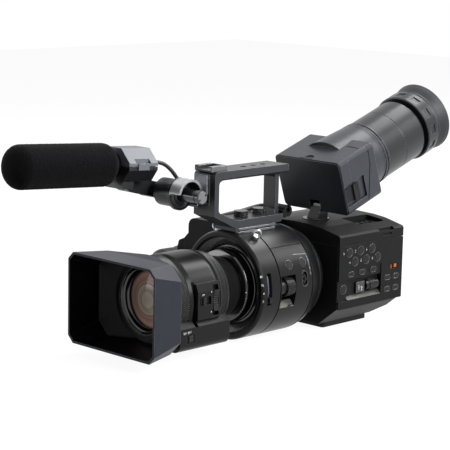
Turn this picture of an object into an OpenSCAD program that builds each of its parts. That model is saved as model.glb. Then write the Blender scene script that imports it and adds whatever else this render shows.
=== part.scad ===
// Shoulder-height camcorder with interchangeable power-zoom lens, top handle,
// shotgun microphone, monitor with viewfinder loupe and right-hand grip.
// Seen from behind, +X is the operator's left, -Y is where the lens points
// and +Z is up. The origin is the mouth of the tripod thread. Most modules
// are drawn about the optical axis and put in place by from_axis().

/* [Body] */
// Radius of the round barrel that carries the lens mount
barrel_r = 51.5; // [48:0.5:53]
// Length of the barrel behind its front edge, up to the box
barrel_len = 92; // [90:1:96]
// Length of the rectangular box behind the barrel
box_len = 96; // [90:1:120]
// Distance from the optical axis to the operator's left side panel
panel_x = 59; // [57:0.5:64]
// Distance from the optical axis to the right side of the box
right_x = 67.5; // [66:0.5:70]
// Height of the box's upper corner above the optical axis
box_top = 43; // [42:0.5:48]
// Gap between the bottom of the barrel and the floor
barrel_gap = 0.5; // [0.4:0.1:3]
// Distance of the tripod thread behind the barrel's front edge
thread_y = 118; // [116:1:130]
// Radius of the 1/4-20 tripod thread
thread_r = 3.2; // [3.1:0.05:3.3]

/* [Lens] */
// Radius of the fixed middle of the lens
lens_r = 39.4; // [38.6:0.2:40]
// Length of the lens in front of its mount
lens_len = 94; // [92:1:100]
// Outside width of the hood's mouth
hood_w = 113; // [106:1:120]
// Outside height of the hood's mouth
hood_h = 83; // [80:1:90]
// Length of the hood
hood_len = 44.6; // [40:0.2:50]
// Wall thickness of the hood
hood_wall = 2; // [1.6:0.2:3]

/* [Handle] */
// Width of the handle's frame
handle_w = 27; // [25:1:30]
// Height of the top of the handle above the optical axis
handle_top = 109.5; // [107:0.5:118]
// Distance between the three threaded holes in the handle
hole_pitch = 13; // [12:0.5:14]

/* [Microphone] */
// Radius of the foam windscreen
foam_r = 19.7; // [17:0.1:20]
// Length of the foam windscreen
foam_len = 112.5; // [100:0.5:125]
// Radius of the microphone's tube
mic_r = 10.5; // [9:0.1:10.8]
// Upward pitch of the microphone at rest
mic_pitch = 3.7; // [0:0.1:6]

/* [Viewfinder] */
// Upward tilt of the monitor and loupe at rest
finder_tilt = 19; // [10:0.5:25]
// Width of the monitor and of the loupe's box
finder_w = 83.4; // [80:0.2:86]
// Height of the monitor and of the loupe's box
finder_h = 55.5; // [54:0.5:58]
// Radius of the loupe's tube
tube_r = 32; // [31:0.5:33]
// Length of the loupe's plain tube
tube_len = 64; // [58:1:70]

/* [Controls] */
// Radius of the six numbered buttons
assign_r = 3.6; // [3:0.1:3.8]
// Travel of a push button
press = 0.9; // [0.6:0.1:1]
// Running gap around a moving control
slack = 0.3; // [0.25:0.05:0.4]

/* [Hidden] */
$fn = 96;
eps = 0.01;

// Optical axis and box
axis_z = barrel_r + barrel_gap;
box_y0 = barrel_len;
box_y1 = barrel_len + box_len;
seam_z = box_top - 10;
panel_t = 2.2;
panel_bottom = -28.5;
wall = 3;
base_w = 62;
base_t = 6;
bore_r = 38;

// Lens, measured forward from the mount
mount_y = -8;
lens_y1 = mount_y - lens_len;
zoom_y0 = -32;
zoom_y1 = -46;
focus_y0 = -84.7;
focus_y1 = -97.5;
ring_r = 38.6;
neck_r = 34;
lens_box_w = 84;
lens_box_z0 = -42;
lens_box_z1 = -20;
hood_y0 = lens_y1 + 2.4;
hood_y1 = hood_y0 - hood_len;

// Handle
rail_z = barrel_r + 3.3;
foot_z = rail_z + 7.7;
handle_y0 = -31;
handle_y1 = 67.6;
foot_y0 = -2.5;
foot_y1 = 56;
column_t = 5.5;
rear_t = 4.5;
rear_w = 15.4;
bar_t = 8.5;
screw_at = [17.5, 42.5];
hole_y = 19;

// Microphone mount, about the hinge axis
hinge_y = -46;
hinge_z = 88;
mic_x = -48;
mic_h = 24.5;
drum_r = 12.8;
clamp_y0 = -55;
clamp_len = 34.5;
clamp_bore = mic_r + 0.6;
foam_y1 = -61.5;

// Monitor and loupe, about the monitor's hinge pin
finder_x = 3.3;
swivel_y = box_y0 + 28;
pin_y = swivel_y + 5.9;
pin_z = 62.1;
slab_t = 13.5;
slab_y0 = -6.5;
finder_v0 = -3;
finder_v1 = finder_v0 + finder_h;
loupe_v = 22.5;
hood_y0f = slab_y0 + slab_t + slack;
box_y1f = 45;
tube_y0 = 70;
tube_y1 = tube_y0 + tube_len;
ring_y0 = tube_y1 + 5;
ring_len = 16;

// Panel layout: rows of buttons along Y at given heights
assign_pitch = 16.7;
assign_top = [box_y0 + 14.5, 25.7];
assign_low = [box_y0 + 23, 16.1];

// Route of the microphone's cable and its radius
cable_r = 1.9;
cable_route = [
    [-48, -55.9, 113.2], [-48, -51, 113.6], [-47, -44, 113.2], [-45.4, -37, 110.4],
    [-43, -31, 104.5], [-40, -26, 96.5], [-36, -21.5, 88], [-31, -17, 80],
    [-25.5, -12, 72.5], [-20.5, -5, 65.5], [-18, 4, 61.6], [-17.5, 20, 62.4],
    [-17.5, 38, 63.6], [-18, 52, 65], [-20, 65, 65.2], [-25, 77, 63.4],
    [-34, 87, 61], [-48, 95, 57.6], [-64, 102, 52.6], [-80, 109, 46],
    [-95, 117, 38], [-108, 126, 29], [-118, 136, 19.6], [-122.4, 145, 12.4],
    [-120.4, 150.8, 8.6], [-114.4, 152, 8]
];
plug_y = 152;
plug_z = 8;
plug_x = -114;

// Places of the controls, the side housing and the clamp
// The filter lever's slot: ends along Y and angles above and below +X
nd_y0 = 2;
nd_y1 = 7.6;
nd_up = 17;
nd_low = 11;
nd_rest = -8;
dial_x = 43.5;
dial_z = 0.8;
dial_r = 9.2;
// Round and square openings of the panel's controls, as [y, z] places
assign_at = [for (i = [0:2]) assign_top + [assign_pitch * i, 0.2 * i],
             for (i = [0:2]) assign_low + [assign_pitch * i, 0.2 * i]];
key_at = [for (p = [[17.7, 4.3], [34.2, 4.6], [50.7, 4.9]]) [box_y0 + p[0], p[1]],
          for (z = [-6, -17.6]) for (y = [23, 10]) [box_y1 - y, z]];
tray_z0 = -20.6;
tray_z1 = -0.6;
tray_y1 = box_y1 - 32.8;
tray_step_y = box_y0 + 13.4;
dial_at = [tray_y1 - 11.8, -10.4];
speed_at = [box_y0 + 8.6, -9.6];
// Outline of the raised cover over the box, seen from the front
cover_outline = [
    [panel_x, seam_z], [panel_x, box_top - 1.6], [panel_x - 1.6, box_top], [46, box_top + 2.6],
    [35, box_top + 5], [20, box_top + 6.6], [0, box_top + 7.2], [-20, box_top + 6.6], [-38, box_top + 5],
    [-52, box_top + 2.4], [1.6 - right_x, box_top], [-right_x, box_top - 1.6], [-right_x, seam_z]];
bay_x = 29;
shoulder_x = -74;
side_y0 = 22;
// Grip: flat seat against the side boss, turning about X at its middle
grip_x = shoulder_x - 17.4;
grip_y = 44;
grip_z = -2;
pivot_r = 8;
rocker_at = [grip_y, 11.4];
record_at = [grip_y + 42, 15];
// Outline of the closed clamp about the microphone's axis
clamp_top = [[-22, 0.3], [-22, 3.2], [-9.5, 15.6], [9.5, 15.6], [22, 3.2], [22, 0.3]];
clamp_low = [[-22, -0.3], [-22, -3.2], [-14.5, -14], [14.5, -14], [22, -3.2], [22, -0.3]];
pad_y0 = -81;
pad_y1 = -49.5;

// ---------------------------------------------------------------- helpers

module from_axis() {
    translate([0, -thread_y, axis_z]) children();
}

// Solid of revolution about Y from points given as [y, radius]
module turned(points) {
    rotate([90, 0, 0]) rotate_extrude() polygon([for (p = points) [p[1], -p[0]]]);
}

// Round bar along Y from y0 to y1
module bar_y(r, y0, y1) {
    translate([0, y0, 0]) rotate([-90, 0, 0]) cylinder(h = y1 - y0, r = r);
}

// Round bar along X from x0 to x1
module bar_x(r, x0, x1) {
    translate([x0, 0, 0]) rotate([0, 90, 0]) cylinder(h = x1 - x0, r = r);
}

// Box given by two opposite corners
module span(a, b) {
    translate(a) cube(b - a);
}

// Arc of points about c from angle a0 to a1
function arc(c, r, a0, a1, n = 6) =
    [for (i = [0:n]) c + r * [cos(a0 + (a1 - a0) * i / n), sin(a0 + (a1 - a0) * i / n)]];

// Rectangle from a to b with rounded corners
function rounded(a, b, r) = concat(
    arc([b[0] - r, b[1] - r], r, 0, 90), arc([a[0] + r, b[1] - r], r, 90, 180),
    arc([a[0] + r, a[1] + r], r, 180, 270), arc([b[0] - r, a[1] + r], r, 270, 360));

// Rectangle of size w by h about the origin with flat chamfered corners
function chamfered(w, h, c) = [
    [w / 2, h / 2 - c], [w / 2 - c, h / 2], [c - w / 2, h / 2], [-w / 2, h / 2 - c],
    [-w / 2, c - h / 2], [c - w / 2, -h / 2], [w / 2 - c, -h / 2], [w / 2, c - h / 2]];

// Ribbed ring outline: n flat-topped ribs between radius r - d and r
function ribbed(n, r, d) = [for (i = [0:n - 1]) for (k = [[0.05, -1], [0.2, 0], [0.7, 0], [0.85, -1]])
    (r + k[1] * d) * [cos(360 * (i + k[0]) / n), sin(360 * (i + k[0]) / n)]];

// Outline in X and Z drawn out along Y from y0 to y1
module along_y(points, y0, y1) {
    translate([0, y1, 0]) rotate([90, 0, 0]) linear_extrude(y1 - y0) polygon(points);
}

// Outline in Y and Z drawn out along X from x0 to x1
module along_x(points, x0, x1) {
    translate([x0, 0, 0]) rotate([90, 0, 90]) linear_extrude(x1 - x0) polygon(points);
}

// Puts its children on the barrel's skin, turned up from +X by angle a,
// where their own +X then points straight out
module on_barrel(y, a) {
    translate([0, y, 0]) rotate([0, -a, 0]) translate([barrel_r, 0, 0]) children();
}

// Puts its children in the pitched frame of the microphone's hinge
module from_mic_hinge() {
    from_axis() translate([0, hinge_y, hinge_z]) rotate([-mic_pitch, 0, 0]) children();
}

// Puts its children in the tilted frame of the monitor's hinge pin
module from_finder() {
    from_axis() translate([finder_x, pin_y, pin_z]) rotate([finder_tilt, 0, 0]) children();
}

// Tube swept along a list of points, with rings square to the route
module swept(route, r, sides = 8) {
    n = len(route);
    tangent = [for (i = [0:n - 1]) let (d = route[min(i + 1, n - 1)] - route[max(i - 1, 0)]) d / norm(d)];
    rings = [for (i = [0:n - 1]) let (
        t = tangent[i], u0 = cross(t, [0, 0, 1]), u = u0 / norm(u0), v = cross(u, t))
        for (k = [0:sides - 1]) route[i] + r * (cos(360 * k / sides) * u + sin(360 * k / sides) * v)];
    skin = [for (i = [0:n - 2]) for (k = [0:sides - 1]) let (a = i * sides, m = (k + 1) % sides)
        each [[a + k, a + m, a + sides + m], [a + k, a + sides + m, a + sides + k]]];
    lids = [[for (k = [0:sides - 1]) sides - 1 - k], [for (k = [0:sides - 1]) (n - 1) * sides + k]];
    polyhedron(rings, concat(skin, lids), convexity = 6);
}

// ---------------------------------------------------------------- barrel

// Round opening in the barrel's skin for a push button
module button_well(y, a, r) {
    on_barrel(y, a) {
        bar_x(r + slack, -2.4, 2);
        bar_x(r * 0.6, -6, 0);
    }
}

module front_barrel() {
    color("#2b2c2f") from_axis() difference() {
        turned([[5, 37.1], [3.6, 38.2], [-2.6, 44.6], [-2.6, 45.2], [-4.8, 46.4],
                [-4.8, barrel_r - 2.2], [-4.2, barrel_r - 1], [-2.4, barrel_r], [18.6, barrel_r],
                [18.6, bore_r + 2], [8, bore_r + 2], [8, 37.1]]);
        // Curved slot of the neutral-density filter lever
        rotate([90, nd_low + 3, 0]) translate([0, 0, -nd_y1]) rotate_extrude(angle = nd_up + nd_low + 6)
            translate([barrel_r - 4, 0]) square([8, nd_y1 - nd_y0]);
    }
}

module nd_lever() {
    color("#55585e") from_axis() {
        rotate([90, 3 - nd_rest, 0]) translate([0, 0, slack - nd_y1])
            rotate_extrude(angle = 6) translate([barrel_r - 3.7, 0]) square([3.2,
                nd_y1 - nd_y0 - 2 * slack]);
        on_barrel((nd_y0 + nd_y1) / 2, nd_rest) span([-1, -1.4, -2.2], [1.8, 1.4, 2.2]);
    }
}

module lens_mount() {
    color("#8b8d90") from_axis() difference() {
        turned([[mount_y, 23.2], [mount_y, 30], [mount_y + 1.2, 30], [mount_y + 1.6, 30.9], [3, 33.6],
            [4.6, 36.8], [7.6, 36.8],
                [7.6, 23.2]]);
        for (a = [45:90:315]) rotate([0, a, 0]) translate([28.6, mount_y, 0]) bar_y(0.9, -1, 0.6);
    }
}

module control_barrel() {
    color("#2b2c2f") from_axis() difference() {
        // Profile from the front edge; the rear half is measured forward from the box
        turned(concat([[18.9, bore_r], [18.9, barrel_r - 2], [19.8, barrel_r - 1.8], [20.2, barrel_r]],
            [for (p = [[30, 0], [29.3, 1.2], [28, 1.2], [27.4, 0.2], [20, 2], [13, 5], [12.4, 6], [11.4, 6],
                       [10.8, 5.4], [6, 7.6], [3, 10], [0.4, 14]]) [box_y0 - p[0], barrel_r - p[1]]],
            [[box_y0 - 0.4, bore_r - 6], [box_y0 - 32, bore_r - 6], [box_y0 - 32, bore_r]]));
        // Window over the iris dial with a ramp below it
        along_y([[32, -11.5], [34, 12.5], [60, 12.5], [60, -20], [48.2, -17.4], [44, -11.5]], 20.8, 40.4);
        button_well(34.4, 24.8, 3.5);
        button_well(53, 25, 3.5);
        // Upright well of the focus switch
        on_barrel(52.5, 7.6) along_x(rounded([-3.2, -6.6], [3.2, 6.6], 3.1), -2.2, 3);
        // Seam of the top cover plate
        rotate([0, -46, 0]) span([barrel_r - 0.8, 21, -0.3], [barrel_r + 1, box_y0 - 31, 0.3]);
        // Seats of the dial's shaft
        translate([dial_x, 0, dial_z]) bar_y(1.7, 19.4, 42.2);
    }
}

module iris_dial() {
    color("#3a3b3e") from_axis() translate([dial_x, 0, dial_z]) {
        along_y(ribbed(36, dial_r, 0.5), 28.4, 38.8);
        bar_y(dial_r - 1.8, 21.6, 28.5);
        bar_y(1.4, 19.8, 41.8);
    }
}

module round_key(y, a, r) {
    on_barrel(y, a) {
        bar_x(r, -0.9, 0.5);
        bar_x(r * 0.5, -3, -0.8);
    }
}

module auto_iris_button() {
    color("#303134") from_axis() round_key(34.4, 24.8, 3.5);
}

module focus_assist_button() {
    color("#303134") from_axis() round_key(53, 25, 3.5);
}

module focus_switch() {
    color("#4a4b4f") from_axis() on_barrel(52.5, 7.6) {
        along_x(rounded([-2.7, -3.6], [2.7, 3.6], 2.5), -1.8, -0.7);
        bar_x(1.3, -0.8, 1);
    }
}

module sensor_unit() {
    color("#3d5a45") from_axis() difference() {
        union() {
            span([-27, 14, -22], [27, 34, 22]);
            // Round carrier plate that seats in the barrel's bore
            bar_y(bore_r - slack, 46, 49);
            for (a = [45:90:315]) rotate([0, a, 0]) translate([22, 0, 0]) bar_y(2.5, 33, 46.5);
        }
        span([-13, 13, -8], [13, 17, 8]);
    }
}

// ---------------------------------------------------------------- box

// Outline of the box below the top seam, seen from the front
function box_outline(inset) = [
    [panel_x - panel_t - inset, seam_z], [panel_x - panel_t - inset, panel_bottom + inset * 0.3],
    [base_w / 2 + 4, base_t - axis_z + slack + inset * 0.7],
    [-base_w / 2 - 8, base_t - axis_z + slack + inset * 0.7],
    [inset - right_x, panel_bottom - 2 + inset * 0.3], [inset - right_x, seam_z]];

module rear_housing() {
    color("#2a2b2d") from_axis() difference() {
        along_y(box_outline(0), box_y0, box_y1 - 3.3);
        along_y(box_outline(wall), box_y0 + wall, box_y1 - 3.2);
        // Opening behind the panel's controls
        span([panel_x - 12, box_y0 + 3.4, panel_bottom + 4], [panel_x, box_y1 - 5, seam_z - 1.6]);
        // Rear of the floor slopes up
        along_x([[box_y1 - 19.5, -60], [box_y1 - 19.5, 6.3 - axis_z], [box_y1 + 2, 15 - axis_z],
                 [box_y1 + 2, -60]], -80, 80);
        // Jack for the microphone's plug
        translate([0, plug_y, plug_z]) bar_x(9.6, -right_x - 1, wall - right_x + 1);
    }
}

module control_panel() {
    color("#2a2b2d") from_axis() {
        difference() {
            union() {
                along_x(rounded([box_y0 + 0.2, panel_bottom], [box_y1 - 0.4, seam_z - 0.4], 1.2),
                        panel_x - panel_t + 0.05, panel_x);
                // Tub behind the sunken tray
                span([panel_x - 7, box_y0 + 5.4, tray_z0 - 2], [panel_x - 1, tray_y1 + 2, tray_z1 + 2]);
            }
            for (p = assign_at) translate([0, p[0], p[1]]) bar_x(assign_r + slack, panel_x - 4,
                panel_x + 1);
            for (p = key_at) translate([0, p[0], p[1]])
                along_x(rounded([-3.7, -2], [3.7, 2], 1.2), panel_x - 4, panel_x + 1);
            // Sunken tray: its floor steps down behind the first button
            translate([0, 0, tray_z0]) linear_extrude(tray_z1 - tray_z0) polygon([
                [panel_x + 1, box_y0 - 1], [panel_x - 1.6, box_y0 - 1], [panel_x - 1.6, tray_step_y],
                [panel_x - 3.4, tray_step_y], [panel_x - 5, tray_y1], [panel_x + 1, tray_y1]]);
            // The row of keys lies in a field that slopes down to the same edge
            translate([0, 0, tray_z1 - eps]) linear_extrude(10.2) polygon([
                [panel_x + 1, box_y0 + 7], [panel_x, box_y0 + 7], [panel_x - 1, tray_y1],
                [panel_x + 1, tray_y1]]);
            translate([0, speed_at[0], speed_at[1]]) bar_x(assign_r + slack, panel_x - 9, panel_x);
            // Well of the jog dial and its index window
            span([panel_x - 9, dial_at[0] - 9.6, -16.6], [panel_x, dial_at[0] + 9.6, -4.2]);
            translate([panel_x - 5.2, 0, dial_at[1]]) bar_y(1.2, dial_at[0] - 11, dial_at[0] + 11);
            // Window of the hold switch
            along_x(rounded([box_y1 - 19.5, 1.8], [box_y1 - 8, 6.6], 1), panel_x - 4, panel_x + 1);
        }
        // Ramp along the tray's lower edge
        difference() {
            along_y([[panel_x - 5.5, tray_z0 - eps], [panel_x - 0.2, tray_z0 - eps], [panel_x - 4.4,
                tray_z0 + 3.8],
                     [panel_x - 5.5, tray_z0 + 3.8]], tray_step_y, tray_y1 + eps);
            span([panel_x - 9, dial_at[0] - 9.6, -16.6], [panel_x, dial_at[0] + 9.6, -4.2]);
        }
        // Index window beside the dial
        span([panel_x - 5.4, box_y0 + 27.5, -15.8], [panel_x - 1.8, dial_at[0] - 11.2, -5]);
    }
}

// Round push button in the side panel, with a collar that keeps it in
module panel_button(p) {
    color("#2f3033") from_axis() translate([0, p[0], p[1]]) {
        bar_x(assign_r, panel_x - panel_t - 1.4, panel_x + press - slack);
        bar_x(assign_r + 1.2, panel_x - panel_t - 1.8, panel_x - panel_t - 0.2);
    }
}

module assign_button_1() { panel_button(assign_at[0]); }
module assign_button_2() { panel_button(assign_at[1]); }
module assign_button_3() { panel_button(assign_at[2]); }
module assign_button_4() { panel_button(assign_at[3]); }
module assign_button_5() { panel_button(assign_at[4]); }
module assign_button_6() { panel_button(assign_at[5]); }

module function_keys() {
    color("#2f3033") from_axis() for (p = key_at) translate([0, p[0], p[1]]) {
        along_x(rounded([-3.4, -1.7], [3.4, 1.7], 1), panel_x - panel_t - 1.4, panel_x + 0.2);
        span([panel_x - panel_t - 1.8, -4.4, -2.7], [panel_x - panel_t - 0.9, 4.4, 2.7]);
    }
}

module speed_button() {
    color("#2f3033") from_axis() translate([0, speed_at[0], speed_at[1]]) {
        bar_x(assign_r, panel_x - 8.4, panel_x - 1);
        bar_x(assign_r + 1.2, panel_x - 8.6, panel_x - 7.4);
    }
}

module speed_dial() {
    color("#3c3d40") from_axis() translate([panel_x - 5.2, 0, dial_at[1]]) {
        along_y(ribbed(24, 5.7, 0.4), dial_at[0] - 4, dial_at[0] + 6.4);
        bar_y(5.1, dial_at[0] - 9, dial_at[0] + 9);
        bar_y(1, dial_at[0] - 10.8, dial_at[0] + 10.8);
    }
}

module hold_switch() {
    color("#c8622e") from_axis() {
        span([panel_x - 1.6, box_y1 - 13.4, 2.5], [panel_x - 0.4, box_y1 - 9.2, 5.9]);
        span([panel_x - 3.4, box_y1 - 15.6, 0.9], [panel_x - panel_t - 0.2, box_y1 - 8.8, 7.5]);
        span([panel_x - panel_t - 0.4, box_y1 - 13, 3], [panel_x + 0.3, box_y1 - 10, 5.4]);
    }
}

module top_cover() {
    color("#2c2d30") from_axis() difference() {
        along_y(cover_outline, box_y0, box_y1 - 0.4);
        // Hollow underside
        span([wall - right_x, box_y0 + wall, seam_z - 1], [panel_x - wall, box_y1 - 4, box_top - 3]);
        // Notch and slot at the panel's upper edge
        span([panel_x - 4, box_y1 - 37.5, box_top - 2.4], [panel_x + 1, box_y1 - 15, box_top + 2]);
        span([panel_x - 1.4, box_y1 - 32, box_top - 6.6], [panel_x + 1, box_y1 - 18.5, box_top - 4.4]);
        // Shoe-shaped pad of transport keys
        translate([0, 0, box_top + 1]) linear_extrude(12) polygon(rounded([18, box_y1 - 48],
            [42, box_y1 - 10], 3));
        // Seat of the monitor's swivel
        translate([finder_x, swivel_y, box_top + 4.4]) cylinder(h = 12, r = 13.6);
        translate([finder_x, swivel_y, box_top - 8]) cylinder(h = 20, r = 4.4);
    }
    color("#232426") from_axis() for (i = [0:2]) for (j = [0:4])
        translate([22 + 8 * i, box_y1 - 43.5 + 7 * j,
            box_top + 0.5]) linear_extrude(1.6) polygon(rounded([-2.8, -2.2], [2.8, 2.2], 1));
}

module base_plate() {
    color("#1f2022") from_axis() difference() {
        translate([0, 0, -axis_z]) linear_extrude(base_t)
            polygon(rounded([-base_w / 2, box_y0 + 11], [base_w / 2, box_y1 - 19.6], 3));
        translate([0, thread_y, -axis_z - 1]) cylinder(h = base_t + 5, r = thread_r);
        // Hole of the anti-turn pin
        translate([0, thread_y + 15, -axis_z - 1]) cylinder(h = 5, r = 2.3);
    }
}

module rear_panel() {
    color("#26272a") from_axis() difference() {
        along_y([[panel_x - panel_t - 0.4, seam_z - 0.4], [panel_x - panel_t - 0.4, panel_bottom + 0.4],
                 [44, 17 - axis_z], [-44, 17 - axis_z], [0.4 - right_x, panel_bottom - 1.6],
                     [0.4 - right_x, seam_z - 0.4]],
                box_y1 - 3, box_y1);
        // Opening for the battery
        along_y(rounded([-bay_x - slack, -26 - slack], [bay_x + slack, 26 + slack], 3), box_y1 - 10,
            box_y1 + 1);
        // Video, network and power sockets
        for (z = [-18, 0, 18]) translate([45, 0, z]) bar_y(5, box_y1 - 1.6, box_y1 + 1);
        translate([-48, 0, 14]) bar_y(4.4, box_y1 - 1.6, box_y1 + 1);
        span([-54, box_y1 - 1.6, -16], [-42, box_y1 + 1, 2]);
    }
    color("#9b9da0") from_axis() for (z = [-18, 0]) translate([45, 0, z]) bar_y(3.6, box_y1 - 1.8,
        box_y1 + 3);
}

module battery() {
    color("#3b3c3f") from_axis() difference() {
        along_y(rounded([-bay_x, -26], [bay_x, 26], 3), box_y1 - 32, box_y1 + 6);
        for (x = [-18, 18]) along_x([[box_y1 + 1, -20], [box_y1 + 7, -20], [box_y1 + 7, 20],
            [box_y1 + 3, 20]],
                                     x - 0.7, x + 0.7);
    }
}

// ---------------------------------------------------------------- right side

module side_housing() {
    color("#2b2c2f") from_axis() difference() {
        union() {
            along_y(concat([[-19, 51.2]], arc([shoulder_x + 8, 43.2], 8, 90, 180),
                           [[shoulder_x, 36], [shoulder_x - 5, 31], [shoulder_x - 5, -22],
                               [shoulder_x + 12, -44],
                            [-20, -50]]), side_y0, box_y0 - slack);
            along_y([[shoulder_x + 2, 34], [shoulder_x - 15, 26.5], [shoulder_x - 17, 20],
                [shoulder_x - 17, -16],
                     [shoulder_x + 2, -26]], side_y0 + 2, side_y0 + 46);
        }
        bar_y(barrel_r + slack, 0, 100);
        // Bearing of the turning grip
        translate([0, grip_y, grip_z]) bar_x(pivot_r + slack, shoulder_x - 18, shoulder_x - 8);
        // Slot for the memory card's door
        span([shoulder_x - 6, side_y0 + 52, -14], [shoulder_x - 4.2, box_y0 - 5, 22]);
    }
}

module grip_shell() {
    difference() {
        hull() {
            translate([grip_x - 9, grip_y - 30, 4]) sphere(r = 13, $fn = 32);
            translate([grip_x - 12, grip_y - 30, -16]) sphere(r = 11, $fn = 32);
            translate([grip_x - 10, grip_y + 48, 3]) sphere(r = 13, $fn = 32);
            translate([grip_x - 12, grip_y + 48, -18]) sphere(r = 10, $fn = 32);
        }
        span([grip_x, grip_y - 60, -60], [grip_x + 40, grip_y + 90, 60]);
    }
}

module grip() {
    color("#242527") from_axis() difference() {
        union() {
            translate([0, grip_y, grip_z]) bar_x(pivot_r, grip_x - 1, shoulder_x - 8.4);
            grip_shell();
        }
        // Well of the zoom rocker
        span([grip_x - 17, rocker_at[0] - 16.5, 7], [grip_x - 4, rocker_at[0] + 16.5, 30]);
        translate([0, rocker_at[0], rocker_at[1]]) bar_x(1.5, grip_x - 19, grip_x - 2);
        // Well of the record button
        translate([grip_x - 10.5, record_at[0], 7]) cylinder(h = 20, r = 7.4);
    }
}

module zoom_rocker() {
    color("#37383b") from_axis() translate([0, rocker_at[0], rocker_at[1]]) {
        along_x(concat(arc([0, -32], 37, 66, 114, 10), [[-14, -0.6], [-4, -3.6], [4, -3.6], [14, -0.6]]),
                grip_x - 16.5, grip_x - 4.5);
        bar_x(1.2, grip_x - 18.6, grip_x - 2.4);
    }
}

module record_button() {
    color("#9a2b25") from_axis() translate([grip_x - 10.5, record_at[0], 0]) {
        translate([0, 0, 9]) cylinder(h = record_at[1] - 7.4, r = 6.9);
    }
}

module grip_strap() {
    color("#1e1f21") from_axis() translate([0, 0, -28]) linear_extrude(32) difference() {
        polygon(rounded([grip_x - 37, grip_y - 47.2], [grip_x + 40, grip_y + 65.7], 30));
        polygon(rounded([grip_x - 33.5, grip_y - 43.7], [grip_x + 60, grip_y + 62.2], 26.5));
        translate([grip_x - 3, grip_y - 64]) square(200);
    }
}

// ---------------------------------------------------------------- handle

module handle_frame() {
    top = handle_top;
    under = top - bar_t;
    inner = handle_y0 + column_t;
    color("#393b3f") from_axis() difference() {
        union() {
            // Front column, bar, raked heel and foot, bent from one section
            along_x(concat([[handle_y0, 68.8]], arc([handle_y0 + 5, top - 5], 5, 180, 90),
                           arc([handle_y1 - 2, top - 2], 2, 90, 0), [[handle_y1, under], [inner + 4,
                               under]],
                           arc([inner + 4, under - 4], 4, 90, 180), [[inner, 73.5], [inner + 2, 71.2],
                               [foot_y0 + 1, foot_z]],
                           [[foot_y1, foot_z], [foot_y1 + rear_t, foot_z], [foot_y1 + rear_t, rail_z + 3],
                            [foot_y1 + 2, rail_z + slack], [foot_y0, rail_z + slack]]), -handle_w / 2,
                                handle_w / 2);
            // Lip in front of the rail
            span([-handle_w / 2, foot_y0, barrel_r + 0.4], [handle_w / 2, foot_y0 + 2.7, foot_z - 1]);
            // Narrow rear column with a gusset on each end
            along_x([[foot_y1, foot_z - 1], [foot_y1 - 3, foot_z - 1], [foot_y1, foot_z + 4], [foot_y1,
                under - 4],
                     [foot_y1 - 3, under + 1], [foot_y1 + rear_t + 3, under + 1], [foot_y1 + rear_t,
                         under - 4],
                     [foot_y1 + rear_t, foot_z - 1]], -rear_w / 2, rear_w / 2);
        }
        // Threaded holes in the top
        for (i = [0:2]) translate([0, hole_y + i * hole_pitch, under - 1]) cylinder(h = bar_t + 2,
            r = thread_r);
        // Recess for the microphone bracket
        span([-11, handle_y0 - 1, 79.5], [5, handle_y0 + 3.6, top - 2.5]);
        // Holes of the two thumb screws
        for (y = screw_at) translate([0, y, rail_z - 1]) cylinder(h = 20, r = 3);
        // Rounded long edges of the bar's underside
        for (s = [-1, 1]) translate([s * handle_w / 2, 0, under]) rotate([0, 45, 0])
            span([-1.4, inner + 4, -1.4], [1.4, handle_y1 + 1, 1.4]);
    }
}

// Two-step shoe on the barrel's crown that carries the handle
module handle_rail() {
    color("#a7a9ac") from_axis() difference() {
        union() {
            span([-14.8, 0.6, barrel_r - 6], [14.8, 49, rail_z - 3]);
            span([-11, 0.7, barrel_r], [11, 48, rail_z - 1.9]);
            span([-13.9, 0.6, rail_z - 2], [13.9, 50, rail_z]);
        }
        bar_y(barrel_r + slack, -10, 60);
        for (y = screw_at) translate([0, y, rail_z - 6]) cylinder(h = 10, r = 2.5);
    }
}

module handle_screws() {
    color("#1c1d1f") from_axis() for (y = screw_at) translate([0, y, 0]) {
        translate([0, 0, foot_z + slack]) rotate([0, 0, 8]) linear_extrude(5.4) polygon(ribbed(20, 6.6,
            0.5));
        translate([0, 0, rail_z + 0.1]) cylinder(h = foot_z - rail_z + 1, r = 2.4);
    }
}

module accessory_shoe() {
    color("#6f7174") from_axis() translate([0, -24, handle_top + 0.05]) difference() {
        span([-10.9, -9, 0], [10.9, 11, 5]);
        span([-9.4, -10, 1.6], [9.4, 9.6, 3.6]);
        span([-6.4, -10, 3], [6.4, 9.6, 6]);
        for (s = [-1, 1]) translate([s * 5, 4, -1]) cylinder(h = 4, r = 1.3);
    }
}

// Carrying-strap lugs: a bent wire loop on a round foot, left and right
module strap_lugs() {
    color("#c9cacb") from_axis() for (s = [-1, 1]) rotate([0, s * 27, 0]) translate([0, 12.5, barrel_r]) {
        translate([0, 0, 0.1]) cylinder(h = 3, r = 3.4);
        translate([0, 0, 5.2]) rotate([90, 0, 55]) rotate_extrude() translate([3.6, 0]) circle(r = 1.1,
            $fn = 20);
    }
}

module cable_clamp() {
    y0 = foot_y1 + rear_t + 0.1;
    color("#202123") from_axis() difference() {
        union() {
            span([-13.5, y0, rail_z + 3.2], [13.5, y0 + 6, foot_z + 3]);
            translate([0, y0 + 7.5, foot_z + 1.6]) bar_x(5.6, -13.5, 13.5);
        }
        translate([0, y0 + 7.8, foot_z + 2]) bar_x(3, -20, 20);
        span([-20, y0 + 6.4, foot_z + 2], [20, y0 + 9.4, 90]);
        // Clearance around the rear column
        span([-rear_w / 2 - slack, y0 - 1, foot_z - 1], [rear_w / 2 + slack, y0 + 0.6, 90]);
    }
}

// ---------------------------------------------------------------- microphone

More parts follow.
